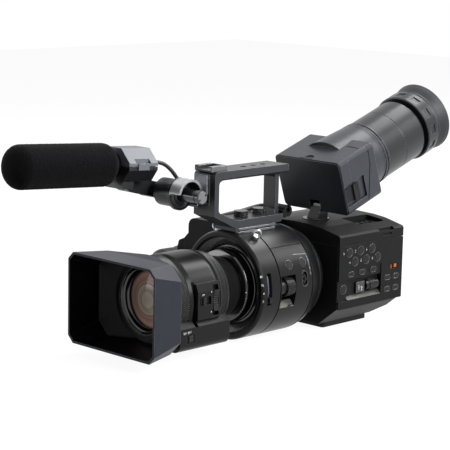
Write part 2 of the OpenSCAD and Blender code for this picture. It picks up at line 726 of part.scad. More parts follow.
module mic_bracket() {
    color("#77797c") from_axis() {
        difference() {
            union() {
                span([-10.7, handle_y0 - 2, 80], [4.7, handle_y0 + 3.3, handle_top - 3]);
                translate([0, hinge_y, hinge_z]) bar_x(15, -18, -2);
                span([-10.7, hinge_y + 8, hinge_z - 7], [-2, handle_y0 + 1, hinge_z + 9]);
            }
            translate([0, hinge_y, hinge_z]) {
                bar_x(12.4, -15.4, 0);
                bar_x(5.6, -40, 20);
                // The shell is open to the front and below
                along_x([[-32, 2], [1.5, 2], [17, -26], [17, -34], [-32, -34]], -14.8, 3);
            }
        }
    }
}

module mic_knob() {
    color("#4d4f53") from_axis() translate([0, hinge_y, hinge_z]) difference() {
        union() {
            bar_x(5.2, -17.8, 8.1);
            bar_x(6.3, 8, 12.6);
            bar_x(3, -34, -17.7);
        }
        rotate([30, 0, 0]) span([11.6, -9, -0.9], [14, 9, 0.9]);
    }
}

module mic_arm() {
    color("#2c2d30") from_mic_hinge() difference() {
        union() {
            bar_x(drum_r, -38, -18.3);
            bar_x(drum_r - 2.4, -40, -37.9);
            bar_x(7.6, -66, -39.9);
            // Block under the clamp and the arm back to the drum
            along_x([[clamp_y0, 11], [clamp_y0, 3.5], [-42, 3.5], [-42, 11]], -62, -34);
            along_x([[-42.1, 11], [-42.1, 3.5], [-34, -1], [-4, -6.4], [2, 6.4], [-16, 11]], -62, -46);
            translate([mic_x, 0, mic_h]) along_y(clamp_low, clamp_y0, clamp_y0 + clamp_len);
        }
        bar_x(3.3, -36, -10);
        translate([mic_x, 0, mic_h]) bar_y(clamp_bore, clamp_y0 - 20, 0);
        translate([mic_x - 22, 0, mic_h]) bar_y(1.6, clamp_y0 - 1, clamp_y0 + clamp_len + 1);
        // Pocket of the lid's catch
        translate([mic_x, 0, mic_h]) span([21.2, clamp_y0 + 9.7, -3.3], [26, clamp_y0 + 23.3, 3]);
    }
}

module mic_clamp_lid() {
    color("#8a8c90") from_mic_hinge() translate([mic_x, 0, mic_h]) difference() {
        union() {
            along_y(clamp_top, clamp_y0, clamp_y0 + clamp_len);
            // Tongue of the catch
            span([21.5, clamp_y0 + 10, -3], [23.4, clamp_y0 + 23, 2.9]);
            translate([-22, 0, 0]) bar_y(1.3, clamp_y0 + 2, clamp_y0 + clamp_len - 2);
        }
        bar_y(clamp_bore, clamp_y0 - 1, clamp_y0 + clamp_len + 1);
        // Window of the catch
        span([18.4, clamp_y0 + 8, 2.8], [30, clamp_y0 + 26, 6.6]);
    }
}

module microphone() {
    color("#1d1e20") from_mic_hinge() translate([mic_x, 0, mic_h]) difference() {
        union() {
            bar_y(mic_r, foam_y1 - foam_len + 8, -13);
            bar_y(mic_r - 3, -13.1, -12);
        }
        // Slots of the interference tube lie under the foam
        for (k = [0:9]) translate([0, foam_y1 - 20 - 8 * k, 0]) for (s = [-1, 1])
            span([s * mic_r - 1.2, -2, -2.4], [s * mic_r + 1.2, 2, 2.4]);
    }
}

module windscreen() {
    r = foam_r;
    color("#151517") from_mic_hinge() translate([mic_x, 0, mic_h]) difference() {
        y0 = foam_y1 - foam_len;
        turned(concat([[y0, 0]], [for (p = arc([y0 + 12, r - 12], 12, 180, 90)) p],
                      [for (p = arc([foam_y1 - 10, r - 10], 10, 90, 0)) p], [[foam_y1, 0]]));
        bar_y(mic_r + 0.1, y0 + 7, foam_y1 + 1);
    }
}

module mic_cable() {
    color("#161617") from_axis() swept(cable_route, cable_r, 8);
}

module mic_plug() {
    color("#8f9194") from_axis() translate([0, plug_y, plug_z]) {
        bar_x(9.4, plug_x + 14, -right_x + 1.5);
        bar_x(7, plug_x + 6, plug_x + 14.1);
        bar_x(4, plug_x - 0.1, plug_x + 6.1);
    }
}

// ---------------------------------------------------------------- monitor

module lcd_hinge() {
    color("#1b1c1e") from_axis() {
        translate([finder_x, swivel_y, box_top + 4.7]) cylinder(h = 3, r = 13);
        translate([finder_x, swivel_y, box_top - 7]) cylinder(h = 12, r = 4);
        translate([finder_x, 0, 0]) along_x(concat([[swivel_y - 6, box_top + 7.6], [pin_y - 5, pin_z]],
            arc([pin_y, pin_z], 5, 180, 0), [[swivel_y + 10, box_top + 7.6]]), -6.5, 6.5);
        translate([finder_x, pin_y, pin_z]) bar_x(2.2, -11, 11);
    }
}

module lcd_panel() {
    w = finder_w / 2;
    color("#2a2d33") from_finder() difference() {
        union() {
            along_y(rounded([-w, finder_v0], [w, finder_v1], 5), slab_y0 + 1, slab_y0 + slab_t);
            along_y(rounded([1 - w, finder_v0 + 1], [w - 1, finder_v1 - 1], 4.4), slab_y0, slab_y0 + 1.1);
        }
        // Notch for the hinge's post and bore for its pin
        span([-6.5 - slack, slab_y0 - 1, finder_v0 - 1], [6.5 + slack, slab_y0 + slab_t + 1, 9]);
        bar_x(2.4, -11.4, 11.4);
        // Recess of the screen
        along_y(rounded([-38, 10], [38, finder_v1 - 5], 1), slab_y0 + slab_t - 1.4, slab_y0 + slab_t + 1);
        // Keeper of the loupe's latch
        span([w - 2.4, slab_y0 + 1.4, 5.5], [w + 1, slab_y0 + slab_t + 1, 27.6]);
        // Thumb notch and long slot along the upper edge
        translate([0, 0, finder_v1]) {
            translate([0.4, slab_y0 + 3.4, 0]) difference() {
                cylinder(h = 2.4, r = 6, center = true);
                span([-8, -8, -3], [8, 0, 3]);
            }
            span([-10, slab_y0 + 1.5, -0.9], [7, slab_y0 + 2.6, 1]);
        }
    }
}

module lcd_screen() {
    color("#0c0e12") from_finder() along_y(rounded([-37.7, 10.3], [37.7, finder_v1 - 5.3], 1),
                                           slab_y0 + slab_t - 1.3, slab_y0 + slab_t - 0.1);
}

module loupe_hood() {
    w = finder_w / 2;
    cone_r = tube_r + 3.5;
    color("#30343b") from_finder() difference() {
        union() {
            along_y(rounded([-w, finder_v0], [w, finder_v1], 5), hood_y0f, box_y1f);
            // Round cowl that rises out of the roof and leads to the tube
            translate([0, 0, loupe_v + 0.5]) intersection() {
                turned([[21, 0], [21, cone_r], [tube_y0 - 4, tube_r + 0.5], [tube_y0 - 0.3,
                    tube_r + 0.5], [tube_y0 - 0.3, 0]]);
                span([-50, 20, finder_v0 - loupe_v - 0.5], [50, 80, 60]);
            }
        }
        // Light path: a square room behind the screen, then a round bore
        along_y(rounded([-38, 3], [38, finder_v1 - 3.5], 2), hood_y0f - 1, box_y1f - 3);
        translate([0, 0, loupe_v]) bar_y(tube_r - 9, box_y1f - 4, tube_y0 + 1);
        // Dark half-round window in the front of the cowl
        translate([0, 0, loupe_v + 0.5]) intersection() {
            bar_y(cone_r - 1.4, 20, 22.6);
            span([-40, 20, finder_v1 - loupe_v + 0.4], [40, 24, 60]);
        }
        // Side recess of the latch
        span([w - 2.4, hood_y0f - 1, 5.5], [w + 1, hood_y0f + 17, 27.6]);
        // Clearance for the hinge's post
        span([-8, hood_y0f - 1, finder_v0 - 1], [8, hood_y0f + 6, 2]);
        // Seam between the box and its rear part
        difference() {
            along_y(chamfered(finder_w + 10, 200, 1), 36, 36.5);
            translate([0, 0, finder_v0]) along_y(rounded([0.5 - w, 0.5], [w - 0.5, finder_h - 0.5],
                4.6), 30, 40);
            span([-80, 30, finder_v1 - 0.6], [80, 40, 200]);
        }
    }
}

module loupe_latch() {
    w = finder_w / 2;
    color("#26282c") from_finder() difference() {
        union() {
            span([w - 2.1, slab_y0 + 2, 9.5], [w - 0.4, hood_y0f + 8.4, 23.5]);
            span([w - 0.5, hood_y0f - 1.4, 8], [w + 1.2, hood_y0f + 6, 25]);
        }
        for (i = [0:6]) translate([w + 1.2, hood_y0f + 2.3, 10.5 + 2 * i]) rotate([0, 45,
            0]) cube([0.8, 5, 0.8], center = true);
    }
}

module loupe_tube() {
    r = tube_r;
    color("#2b2f35") from_finder() translate([0, 0, loupe_v]) turned([
        [tube_y0, r - 8], [tube_y0, r + 1], [tube_y0 + 2, r + 1], [tube_y0 + 2.4, r], [tube_y0 + 4, r],
        [tube_y0 + 4.4, r + 0.8], [tube_y0 + 6, r + 0.8], [tube_y0 + 6.4, r], [tube_y0 + 34, r],
        [tube_y0 + 34.3, r - 0.4], [tube_y0 + 34.7, r - 0.4], [tube_y0 + 35, r], [tube_y1 - 1, r],
            [tube_y1, r - 1],
        [tube_y1, r - 4.6], [ring_y0 + ring_len + 2, r - 4.6], [ring_y0 + ring_len + 2, r - 7.4],
        [tube_y1 - 4, r - 7.4], [tube_y1 - 4, r - 4.4], [tube_y0 + 4, r - 4.4], [tube_y0 + 4, r - 8]]);
}

module loupe_lens() {
    color("#7f93a6") from_finder() translate([0, 0, loupe_v]) turned([
        [tube_y1 - 2, 0], [tube_y1 - 1, 12], [tube_y1 + 2, tube_r - 8], [tube_y1 + 4, tube_r - 7.6],
        [tube_y1 + 7, tube_r - 7.6], [tube_y1 + 9, tube_r - 8.4], [tube_y1 + 12, 12], [tube_y1 + 13, 0]]);
}

module loupe_focus_ring() {
    r = tube_r + 2.4;
    color("#25282d") from_finder() translate([0, ring_y0, loupe_v]) difference() {
        turned([[0, tube_r - 4.2], [0, r - 1.2], [0.8, r], [ring_len - 0.8, r], [ring_len, r - 1],
                [ring_len, tube_r - 4.2]]);
        for (a = [0:30:330]) rotate([0, a, 0]) span([r - 0.9, 4, -4.6], [r + 2, 11, 4.6]);
    }
}

module eyecup() {
    r = tube_r;
    y0 = ring_y0 + ring_len + slack;
    color("#17181a") from_finder() translate([0, 0, loupe_v]) turned([
        [y0, r - 4.3], [y0, r + 0.6], [y0 + 3, r + 1.4], [y0 + 5, r + 0.4], [y0 + 11, r + 2.6],
            [y0 + 16, r + 3.6],
        [y0 + 17, r + 3], [y0 + 15, r - 3], [y0 + 8, r - 8], [y0 + 4, r - 9], [y0 + 2, r - 8], [y0 + 2,
            r - 4.3]]);
}

// ---------------------------------------------------------------- lens

// Outline of the drive box under the lens, seen from the front
module lens_box(y0, y1) {
    w = lens_box_w / 2;
    along_y(concat(arc([w - 8, lens_box_z0 + 8], 8, 0, -90), arc([8 - w, lens_box_z0 + 8], 8, 270, 180),
                   [[-w, lens_box_z1], [-30, -8], [30, -8], [w, lens_box_z1]]), y0, y1);
}

module lens_barrel() {
    color("#303237") from_axis() difference() {
        union() {
            // Rear collar, the neck under the zoom ring and the fixed middle
            turned([[mount_y - 0.1, 0], [mount_y - 0.1, 26.5], [mount_y - 4, 28.4], [-28, 31.6],
                [zoom_y0 + 0.4, 32],
                    [zoom_y0 + 0.4, neck_r - 3], [zoom_y1 - 0.4, neck_r - 3], [zoom_y1 - 0.4, ring_r - 0.8],
                    [-50, lens_r - 0.2], [-52, lens_r], [-80, lens_r], [focus_y0 + 0.4, ring_r - 0.4],
                    [focus_y0 + 0.4, neck_r], [focus_y1 - 0.4, neck_r], [focus_y1 - 0.4, ring_r],
                    [lens_y1 + 2.7, ring_r - 0.4], [lens_y1 + 2.7, neck_r + 1.4], [lens_y1 - 4,
                        neck_r + 1.4],
                    [lens_y1 - 4, 0]]);
            difference() {
                lens_box(lens_y1 + 2.7, -38);
                bar_y(ring_r + 1.4, focus_y1 - 0.4, focus_y0 + 0.4);
                bar_y(ring_r + 1.4, zoom_y1 - 0.4, zoom_y0 + 6);
            }
            // Flat control pad on the operator's side
            along_y([[30, 17], [lens_r - 1.8, 17], [lens_r + 1.3, 10], [lens_r + 1.3, -15],
                [lens_r - 4.4, -21], [28, -21]],
                    pad_y0 + 4, pad_y1);
        }
        // Hollow front and rear of the barrel
        bar_y(31, lens_y1 - 5, -70);
        bar_y(22, -71, mount_y + 1);
        // Finger slot in front of the pad
        along_y([[lens_r - 5, 19], [lens_r + 4, 21], [lens_r + 4, -21], [lens_r - 5, -20]], pad_y0,
            pad_y0 + 3.8);
        // Wells of the mode switch and the zoom lever
        span([lens_r - 1, -74.4, -2.4], [lens_r + 3, -60.6, 5]);
        span([lens_r - 3, -58.2, -13.6], [lens_r + 3, -51, 14.4]);
        span([30, -56.4, -5.4], [40, -52.8, 6.2]);
        // Slide on the drive box
        span([lens_box_w / 2 - 1.2, -92, -34], [lens_box_w / 2 + 1, -82, -26.5]);
    }
}

module lens_zoom_ring() {
    color("#2a2b2e") from_axis() difference() {
        turned([[zoom_y0, 30], [zoom_y0, 35.4], [zoom_y0 - 1.5, 36.4], [zoom_y1 + 1, ring_r], [zoom_y1,
            ring_r - 0.6],
                [zoom_y1, 30]]);
        bar_y(neck_r - 2.7, -60, -20);
        for (i = [0:59]) rotate([0, 6 * i, 0]) translate([ring_r - 1.2, (zoom_y0 + zoom_y1) / 2, 0])
            rotate([0, 0, 9]) cube([2.4, 11, 1.6], center = true);
    }
}

module lens_focus_ring() {
    color("#2a2b2e") from_axis() difference() {
        along_y(ribbed(90, ring_r + 0.4, 0.8), focus_y1, focus_y0);
        bar_y(neck_r + 0.3, -120, -60);
    }
}

module lens_glass() {
    color("#b9917c") from_axis() turned([[lens_y1 + 12, 0], [lens_y1 + 12, 30.8], [lens_y1 + 7.6, 30.8],
        [lens_y1 + 6.4, 27], [lens_y1 + 4.4, 20], [lens_y1 + 3.2, 12], [lens_y1 + 2.8, 0]]);
}

module lens_hood() {
    t = hood_wall;
    back = [hood_w - 4, hood_h - 3];
    mouth_c = 6.5;
    heel_c = 13;
    color("#3d4148") from_axis() difference() {
        union() {
            hull() {
                along_y(chamfered(hood_w, hood_h, mouth_c), hood_y1, hood_y1 + 0.5);
                along_y(chamfered(back[0], back[1], heel_c), hood_y0 - 12, hood_y0 - 11.5);
            }
            hull() {
                along_y(chamfered(back[0], back[1], heel_c), hood_y0 - 12, hood_y0 - 11.5);
                bar_y(ring_r + 2.4, hood_y0 - 0.5, hood_y0);
            }
        }
        hull() {
            along_y(chamfered(hood_w - 2 * t, hood_h - 2 * t, mouth_c - 0.8), hood_y1 - eps, hood_y1 + 0.5);
            along_y(chamfered(back[0] - 2 * t, back[1] - 2 * t, heel_c - 0.8), hood_y0 - 12,
                hood_y0 - 11.5);
        }
        hull() {
            along_y(chamfered(back[0] - 2 * t, back[1] - 2 * t, heel_c - 0.8), hood_y0 - 12,
                hood_y0 - 11.5);
            bar_y(ring_r - 0.4, hood_y0 - t - 1, hood_y0 - t);
        }
        bar_y(neck_r + 1.7, hood_y0 - 10, hood_y0 + 5);
    }
}

module zoom_mode_switch() {
    color("#1c1d1f") from_axis() {
        span([lens_r - 0.6, -73, -1.9], [lens_r + 0.9, -66.4, 4.5]);
        span([lens_r + 0.8, -71, -1.9], [lens_r + 2.2, -69, 4.5]);
    }
}

module zoom_lever() {
    color("#232426") from_axis() translate([0, -54.6, 0.4]) {
        difference() {
            along_y([[lens_r - 2.6, -9.4], [lens_r - 2.6, 9.4], [lens_r + 2.6, 9.4], [lens_r + 1.8, 7],
                     [lens_r + 1.2, 0], [lens_r + 1.8, -7], [lens_r + 2.6, -9.4]], -3, 3);
            for (i = [-3:3]) translate([lens_r + 1.4, 0, 2 * i]) rotate([0, 45, 0]) cube([0.9, 8, 0.9],
                center = true);
        }
        span([32, -1.4, -2], [lens_r - 2.5, 1.4, 2]);
    }
}

front_barrel();
lens_mount();
control_barrel();
side_housing();
rear_housing();
control_panel();
top_cover();
base_plate();
rear_panel();
battery();
sensor_unit();
grip();
grip_strap();
record_button();
zoom_rocker();
handle_frame();
handle_rail();
handle_screws();
accessory_shoe();
strap_lugs();
cable_clamp();
mic_bracket();
mic_knob();
mic_arm();
mic_clamp_lid();
microphone();
windscreen();
mic_cable();
mic_plug();
lcd_hinge();
lcd_panel();
lcd_screen();
loupe_hood();
loupe_latch();
loupe_tube();
loupe_lens();
loupe_focus_ring();
eyecup();
lens_barrel();
lens_zoom_ring();
lens_focus_ring();
lens_glass();
lens_hood();
zoom_lever();
zoom_mode_switch();
nd_lever();
iris_dial();
auto_iris_button();
focus_assist_button();
focus_switch();
assign_button_1();
assign_button_2();
assign_button_3();
assign_button_4();
assign_button_5();
assign_button_6();
function_keys();
speed_button();
speed_dial();
hold_switch();
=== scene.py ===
"""Finishes and fine detail for a shoulder-height camcorder, on its fixed CAD frame.

Lengths inside the shape functions are millimetres about the optical axis, as a
maker would read them off the body; placed() turns them into the row frame.
"""

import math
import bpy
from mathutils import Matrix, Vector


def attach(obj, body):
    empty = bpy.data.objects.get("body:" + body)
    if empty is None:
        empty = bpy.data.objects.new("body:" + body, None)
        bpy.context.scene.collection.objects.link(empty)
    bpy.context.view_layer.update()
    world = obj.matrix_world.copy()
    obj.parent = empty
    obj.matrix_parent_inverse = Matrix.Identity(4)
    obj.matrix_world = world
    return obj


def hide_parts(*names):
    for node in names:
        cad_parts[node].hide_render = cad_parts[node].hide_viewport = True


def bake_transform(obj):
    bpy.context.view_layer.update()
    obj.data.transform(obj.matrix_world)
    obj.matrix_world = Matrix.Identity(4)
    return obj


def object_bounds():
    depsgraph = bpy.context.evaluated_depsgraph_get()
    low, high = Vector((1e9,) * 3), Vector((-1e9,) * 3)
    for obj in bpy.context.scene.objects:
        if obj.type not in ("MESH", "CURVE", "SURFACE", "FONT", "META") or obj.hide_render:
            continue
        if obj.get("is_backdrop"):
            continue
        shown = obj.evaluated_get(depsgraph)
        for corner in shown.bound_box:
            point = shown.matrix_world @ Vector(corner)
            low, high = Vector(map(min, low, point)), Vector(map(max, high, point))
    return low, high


bl_info = {
    "name": "Camcorder Finishes",
    "version": (1, 0, 0),
    "blender": (4, 5, 0),
    "location": "View3D > Sidebar > Camcorder",
    "description": "Adds the soft parts, glass, markings and finishes of a camcorder",
    "category": "Object",
}

import bmesh
import bpy
import numpy as np
from mathutils import Matrix, Vector

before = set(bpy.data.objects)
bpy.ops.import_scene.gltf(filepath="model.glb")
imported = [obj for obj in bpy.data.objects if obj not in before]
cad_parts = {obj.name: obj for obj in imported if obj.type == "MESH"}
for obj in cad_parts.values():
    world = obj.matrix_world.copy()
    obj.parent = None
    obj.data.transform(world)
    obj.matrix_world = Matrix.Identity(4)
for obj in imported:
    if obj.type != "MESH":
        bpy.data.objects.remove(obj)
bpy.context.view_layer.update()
MM = 0.001
AXIS = np.array([0.0, -118.0, 52.0])  # the optical axis at the lens mount, row frame
BARREL_R = 51.5
PANEL_X = 59.0
MIC_HINGE = (-46, 88)  # Y and Z of the microphone's hinge, about the optical axis
MIC_PITCH = math.radians(3.7)
MIC_TUBE = (-48, 24.5)  # X and Z of the microphone's centre line, about its hinge
FINDER_PIN = (3.3, 125.9, 62.1)  # the monitor's hinge pin, about the optical axis
FINDER_TILT = math.radians(19.0)
STROKE_STEP = 1.5  # longest piece of a printed line or rim, mm
STROKE_ROOT = 0.15  # how far its foot is sunk, mm
PLAIN_RAYS = ("Is Camera Ray", "Is Glossy Ray", "Is Transmission Ray")


# ---- settings


def measure(name, description, default, low, high):
    """A length setting; default and limits in mm."""
    return bpy.props.FloatProperty(
        name=name, description=description, default=default * MM, min=low * MM, max=high * MM,
        subtype="DISTANCE", unit="LENGTH")


class CamcorderSizes(bpy.types.PropertyGroup):
    foam_radius: measure("Foam radius", "Radius of the windscreen", 19.7, 15, 25)
    foam_pore: measure("Foam pore", "Size of one open cell of the foam", 1.1, 0.5, 3)
    strap_thickness: measure("Strap thickness", "Thickness of the hand strap", 2.2, 1, 3.4)
    cable_diameter: measure("Cable diameter", "Diameter of the microphone lead", 3.8, 3, 5)
    mark_width: measure("Mark width", "Stroke of the printed numerals and ticks", 0.42, 0.2, 1)


def swatch(name, hexcode, description):
    return bpy.props.StringProperty(name=name, description=description, default=hexcode)


class CamcorderColours(bpy.types.PropertyGroup):
    casing: swatch("Casing", "#1e1e1f", "Satin black of the moulded casing, sRGB hex")
    barrel: swatch("Barrel", "#19191a", "Black lacquer of the metal barrel, sRGB hex")
    hood: swatch("Hood", "#2e3138", "Blue-grey of the lens hood, sRGB hex")
    loupe: swatch("Loupe", "#33363c", "Blue-grey of monitor and loupe, sRGB hex")
    handle: swatch("Handle", "#333438", "Grey lacquer of the handle, sRGB hex")
    bright: swatch("Bright metal", "#a9abad", "Satin metal of rails and lugs, sRGB hex")
    rubber: swatch("Rubber", "#151516", "Black rubber, sRGB hex")
    print_white: swatch("Print", "#d9dadb", "White printing ink, sRGB hex")


# ---- shapes


def joined(*parts):
    """Coordinates side by side, each stretched to the common shape."""
    return np.stack(np.broadcast_arrays(*parts), -1)


def ring_angles(n):
    """n even steps round a circle."""
    return np.linspace(0, 2 * np.pi, n, endpoint=False)


def placed(points):
    """Millimetres about the optical axis to metres in the row frame."""
    return (np.asarray(points, float) + AXIS) * MM


def about_mic(points):
    """Millimetres about the microphone's hinge, pitched up, to metres in the row frame."""
    p = np.asarray(points, float)
    c, s = math.cos(MIC_PITCH), math.sin(MIC_PITCH)
    y, z = p[..., 1], p[..., 2]
    y0, z0 = MIC_HINGE
    return placed(joined(p[..., 0], y0 + y * c + z * s, z0 - y * s + z * c))


def about_finder(points):
    """Millimetres about the monitor's hinge pin, tilted up, to metres in the row frame."""
    p = np.asarray(points, float)
    c, s = math.cos(FINDER_TILT), math.sin(FINDER_TILT)
    y, z = p[..., 1], p[..., 2]
    x0, y0, z0 = FINDER_PIN
    return placed(joined(p[..., 0] + x0, y0 + y * c - z * s, z0 + y * s + z * c))


def surfaces(name, grids, around=True, along=False, caps=False, uvs=None, smooth=35):
    """One mesh from grids of points, each (rows, columns, 3).

    Point (i, j) joins (i, j+1), (i+1, j+1) and (i+1, j); columns close on themselves
    with around, rows with along, and caps fills the first and last row.
    """
    points, faces, corner_uv, start = [], [], [], 0
    for k, grid in enumerate(grids):
        rows, cols = grid.shape[:2]
        i, j = np.meshgrid(np.arange(rows - (not along)), np.arange(cols - (not around)),
                           indexing="ij")
        i2, j2 = (i + 1) % rows, (j + 1) % cols
        quads = joined(i * cols + j, i * cols + j2, i2 * cols + j2, i2 * cols + j)
        faces += (quads.reshape(-1, 4) + start).tolist()
        if uvs is not None:
            du, dv = uvs[k]
            u, v = joined(i, i, i + 1, i + 1) * du, joined(j, j + 1, j + 1, j) * dv
            corner_uv.append(joined(u, v).reshape(-1, 2))
        if caps:
            faces += [list(range(start + cols - 1, start - 1, -1)),
                      list(range(start + (rows - 1) * cols, start + rows * cols))]
            if uvs is not None:
                corner_uv.append(np.zeros((2 * cols, 2)))
        points.append(grid.reshape(-1, 3))
        start += rows * cols
    mesh = bpy.data.meshes.new(name)
    mesh.from_pydata(np.concatenate(points).tolist(), [], faces)
    if uvs is not None:
        layer = mesh.uv_layers.new(name="UVMap")
        layer.uv.foreach_set("vector", np.concatenate(corner_uv).astype(np.float32).ravel())
    tidy = bmesh.new()
    tidy.from_mesh(mesh)
    bmesh.ops.remove_doubles(tidy, verts=tidy.verts, dist=1e-6)
    bmesh.ops.recalc_face_normals(tidy, faces=tidy.faces)
    tidy.to_mesh(mesh)
    tidy.free()
    mesh.polygons.foreach_set("use_smooth", np.ones(len(mesh.polygons), bool))
    mesh.set_sharp_from_angle(angle=math.radians(smooth))
    piece = bpy.data.objects.new(name, mesh)
    bpy.context.scene.collection.objects.link(piece)
    return piece


def turned(profile, n=128, place=placed, x=0.0, z=0.0):
    """Surface of revolution about the Y direction: (x + r cos t, y, z + r sin t)."""
    p = np.asarray(profile, float)
    t = ring_angles(n)
    y, r = p[:, :1], p[:, 1:]
    return place(joined(x + r * np.cos(t), y, z + r * np.sin(t)))


def lengths(line):
    """Distance along a line at each of its points."""
    return np.r_[0, np.cumsum(np.linalg.norm(np.diff(line, axis=0), axis=1))]


def resampled(line, at):
    """Points of a line at the given distances along it."""
    return np.stack([np.interp(at, lengths(line), column) for column in line.T], -1)


def rounded_route(points, samples):
    """Catmull-Rom curve through the points, sampled evenly along its length."""
    p = np.asarray(points, float)
    p = np.vstack([2 * p[0] - p[1], p, 2 * p[-1] - p[-2]])
    t = np.linspace(0, 1, 24, endpoint=False)[:, None]
    a, b, c, d = (p[k : len(p) - 3 + k][:, None] for k in range(4))
    q = 0.5 * (2 * b + (c - a) * t + (2 * a - 5 * b + 4 * c - d) * t**2
               + (3 * b - a - 3 * c + d) * t**3)
    q = np.vstack([q.reshape(-1, 3), p[-2]])
    return resampled(q, np.linspace(0, lengths(q)[-1], samples))


def tube(route, radius, sides=20):
    """Round section along a route: centre + r (n cos t + b sin t), n and b square to it."""
    tangent = np.gradient(route, axis=0)
    tangent /= np.linalg.norm(tangent, axis=1, keepdims=True)
    n = np.cross(tangent, [0.31, 0.17, 0.93])
    n /= np.linalg.norm(n, axis=1, keepdims=True)
    b = np.cross(tangent, n)
    t = ring_angles(sides)[None, :, None]
    r = np.broadcast_to(np.asarray(radius, float).reshape(-1, 1, 1), (len(route), 1, 1))
    return route[:, None] + r * (n[:, None] * np.cos(t) + b[:, None] * np.sin(t))


def strokes(lines, width, height, place):
    """Raised ribbons along 2-D lines: four corners at each point, half the width to either
    side, sunk by the root and raised by the height."""
    grids = []
    for line in lines:
        p = np.asarray(line, float)
        length = lengths(p)
        at = np.unique(np.r_[length, np.arange(0, length[-1], STROKE_STEP)])
        p = resampled(p, at)
        d = np.gradient(p, at, axis=0)
        d /= np.linalg.norm(d, axis=1, keepdims=True)
        side = joined(-d[:, 1], d[:, 0]) * width / 2
        left, right = p + side, p - side
        grids.append(np.stack([place(left, -STROKE_ROOT), place(left, height),
                               place(right, height), place(right, -STROKE_ROOT)], 1))
    return grids


def on_barrel(radius, x=0.0, z=0.0):
    """Maps (distance along the axis, arc length above the left side) onto a barrel."""
    def place(p, h):
        a = p[:, 1] / radius
        r = radius + h
        return placed(joined(x + r * np.cos(a), p[:, 0], z + r * np.sin(a)))
    return place


def on_flat(level, axis=0, sign=1, place=placed):
    """Maps (u, v) onto the flat at a level of one axis, 0 being X; heights go by its sign."""
    return lambda p, h: place(np.insert(p, axis, level + sign * h, axis=1))


NUMERALS = {
    "0": [[(0.5, 0), (0.1, 0.3), (0.1, 1.3), (0.5, 1.6), (0.9, 1.3), (0.9, 0.3), (0.5, 0)]],
    "1": [[(0.2, 1.25), (0.55, 1.6), (0.55, 0)]],
    "2": [[(0.05, 1.3), (0.3, 1.6), (0.75, 1.58), (0.95, 1.2), (0.05, 0), (1, 0)]],
    "3": [[(0.05, 1.6), (0.95, 1.6), (0.4, 0.95), (0.9, 0.75), (0.9, 0.25), (0.6, 0), (0.02, 0.15)]],
    "4": [[(0.72, 0), (0.72, 1.6), (0, 0.45), (1, 0.45)]],
    "5": [[(0.9, 1.6), (0.15, 1.6), (0.1, 0.95), (0.7, 0.95), (0.95, 0.6), (0.85, 0.1), (0.05, 0.05)]],
    "6": [[(0.8, 1.6), (0.3, 1.2), (0.05, 0.5), (0.3, 0), (0.75, 0), (0.95, 0.4), (0.7, 0.85),
           (0.1, 0.7)]],
    "N": [[(0.05, 0), (0.05, 1.6), (0.95, 0), (0.95, 1.6)]],
    "F": [[(0.1, 0), (0.1, 1.6), (0.95, 1.6)], [(0.1, 0.85), (0.8, 0.85)]],
}
NUMERALS["O"] = NUMERALS["0"]


def numeral(digits, at, height):
    """Stroke lines of digits, or of ON and OFF, that stand on the lower left corner (u, v)."""
    k = height / 1.6  # the strokes above stand 1.6 high
    return [[(at[0] + k * (px + 1.4 * n), at[1] + k * py) for px, py in line]
            for n, digit in enumerate(digits) for line in NUMERALS[digit]]


# ---- materials


def linear(hexcode):
    """sRGB hex to linear RGBA."""
    c = np.array([int(hexcode[i : i + 2], 16) for i in (1, 3, 5)]) / 255
    c = np.where(c <= 0.04045, c / 12.92, ((c + 0.055) / 1.055) ** 2.4)
    return (*c.tolist(), 1.0)


def scaled(colour, share):
    """A colour made darker or lighter by a share."""
    return (*[c * share for c in colour[:3]], 1)


def blank(name):
    """A material without nodes, and its tree."""
    mat = bpy.data.materials.new(name)
    mat.use_nodes = True
    mat.node_tree.nodes.clear()
    return mat, mat.node_tree


def add(tree, kind, inputs=None, **settings):
    """Adds one shader node: its settings first, then each input filled or linked. A node
    given as an input stands for its first output."""
    made = tree.nodes.new("ShaderNode" + kind)
    for key, value in settings.items():
        setattr(made, key, value)
    for key, value in (inputs or {}).items():
        if isinstance(value, bpy.types.Node):
            value = value.outputs[0]
        if isinstance(value, bpy.types.NodeSocket):
            tree.links.new(value, made.inputs[key])
        else:
            made.inputs[key].default_value = value
    return made


def arm_from(tree, place, centre, mask):
    """How far a place stands off the line through centre, with the line's own axis masked out."""
    arm = add(tree, "VectorMath", {0: place, 1: centre}, operation="SUBTRACT")
    return add(tree, "VectorMath", {0: arm, 1: mask}, operation="MULTIPLY")


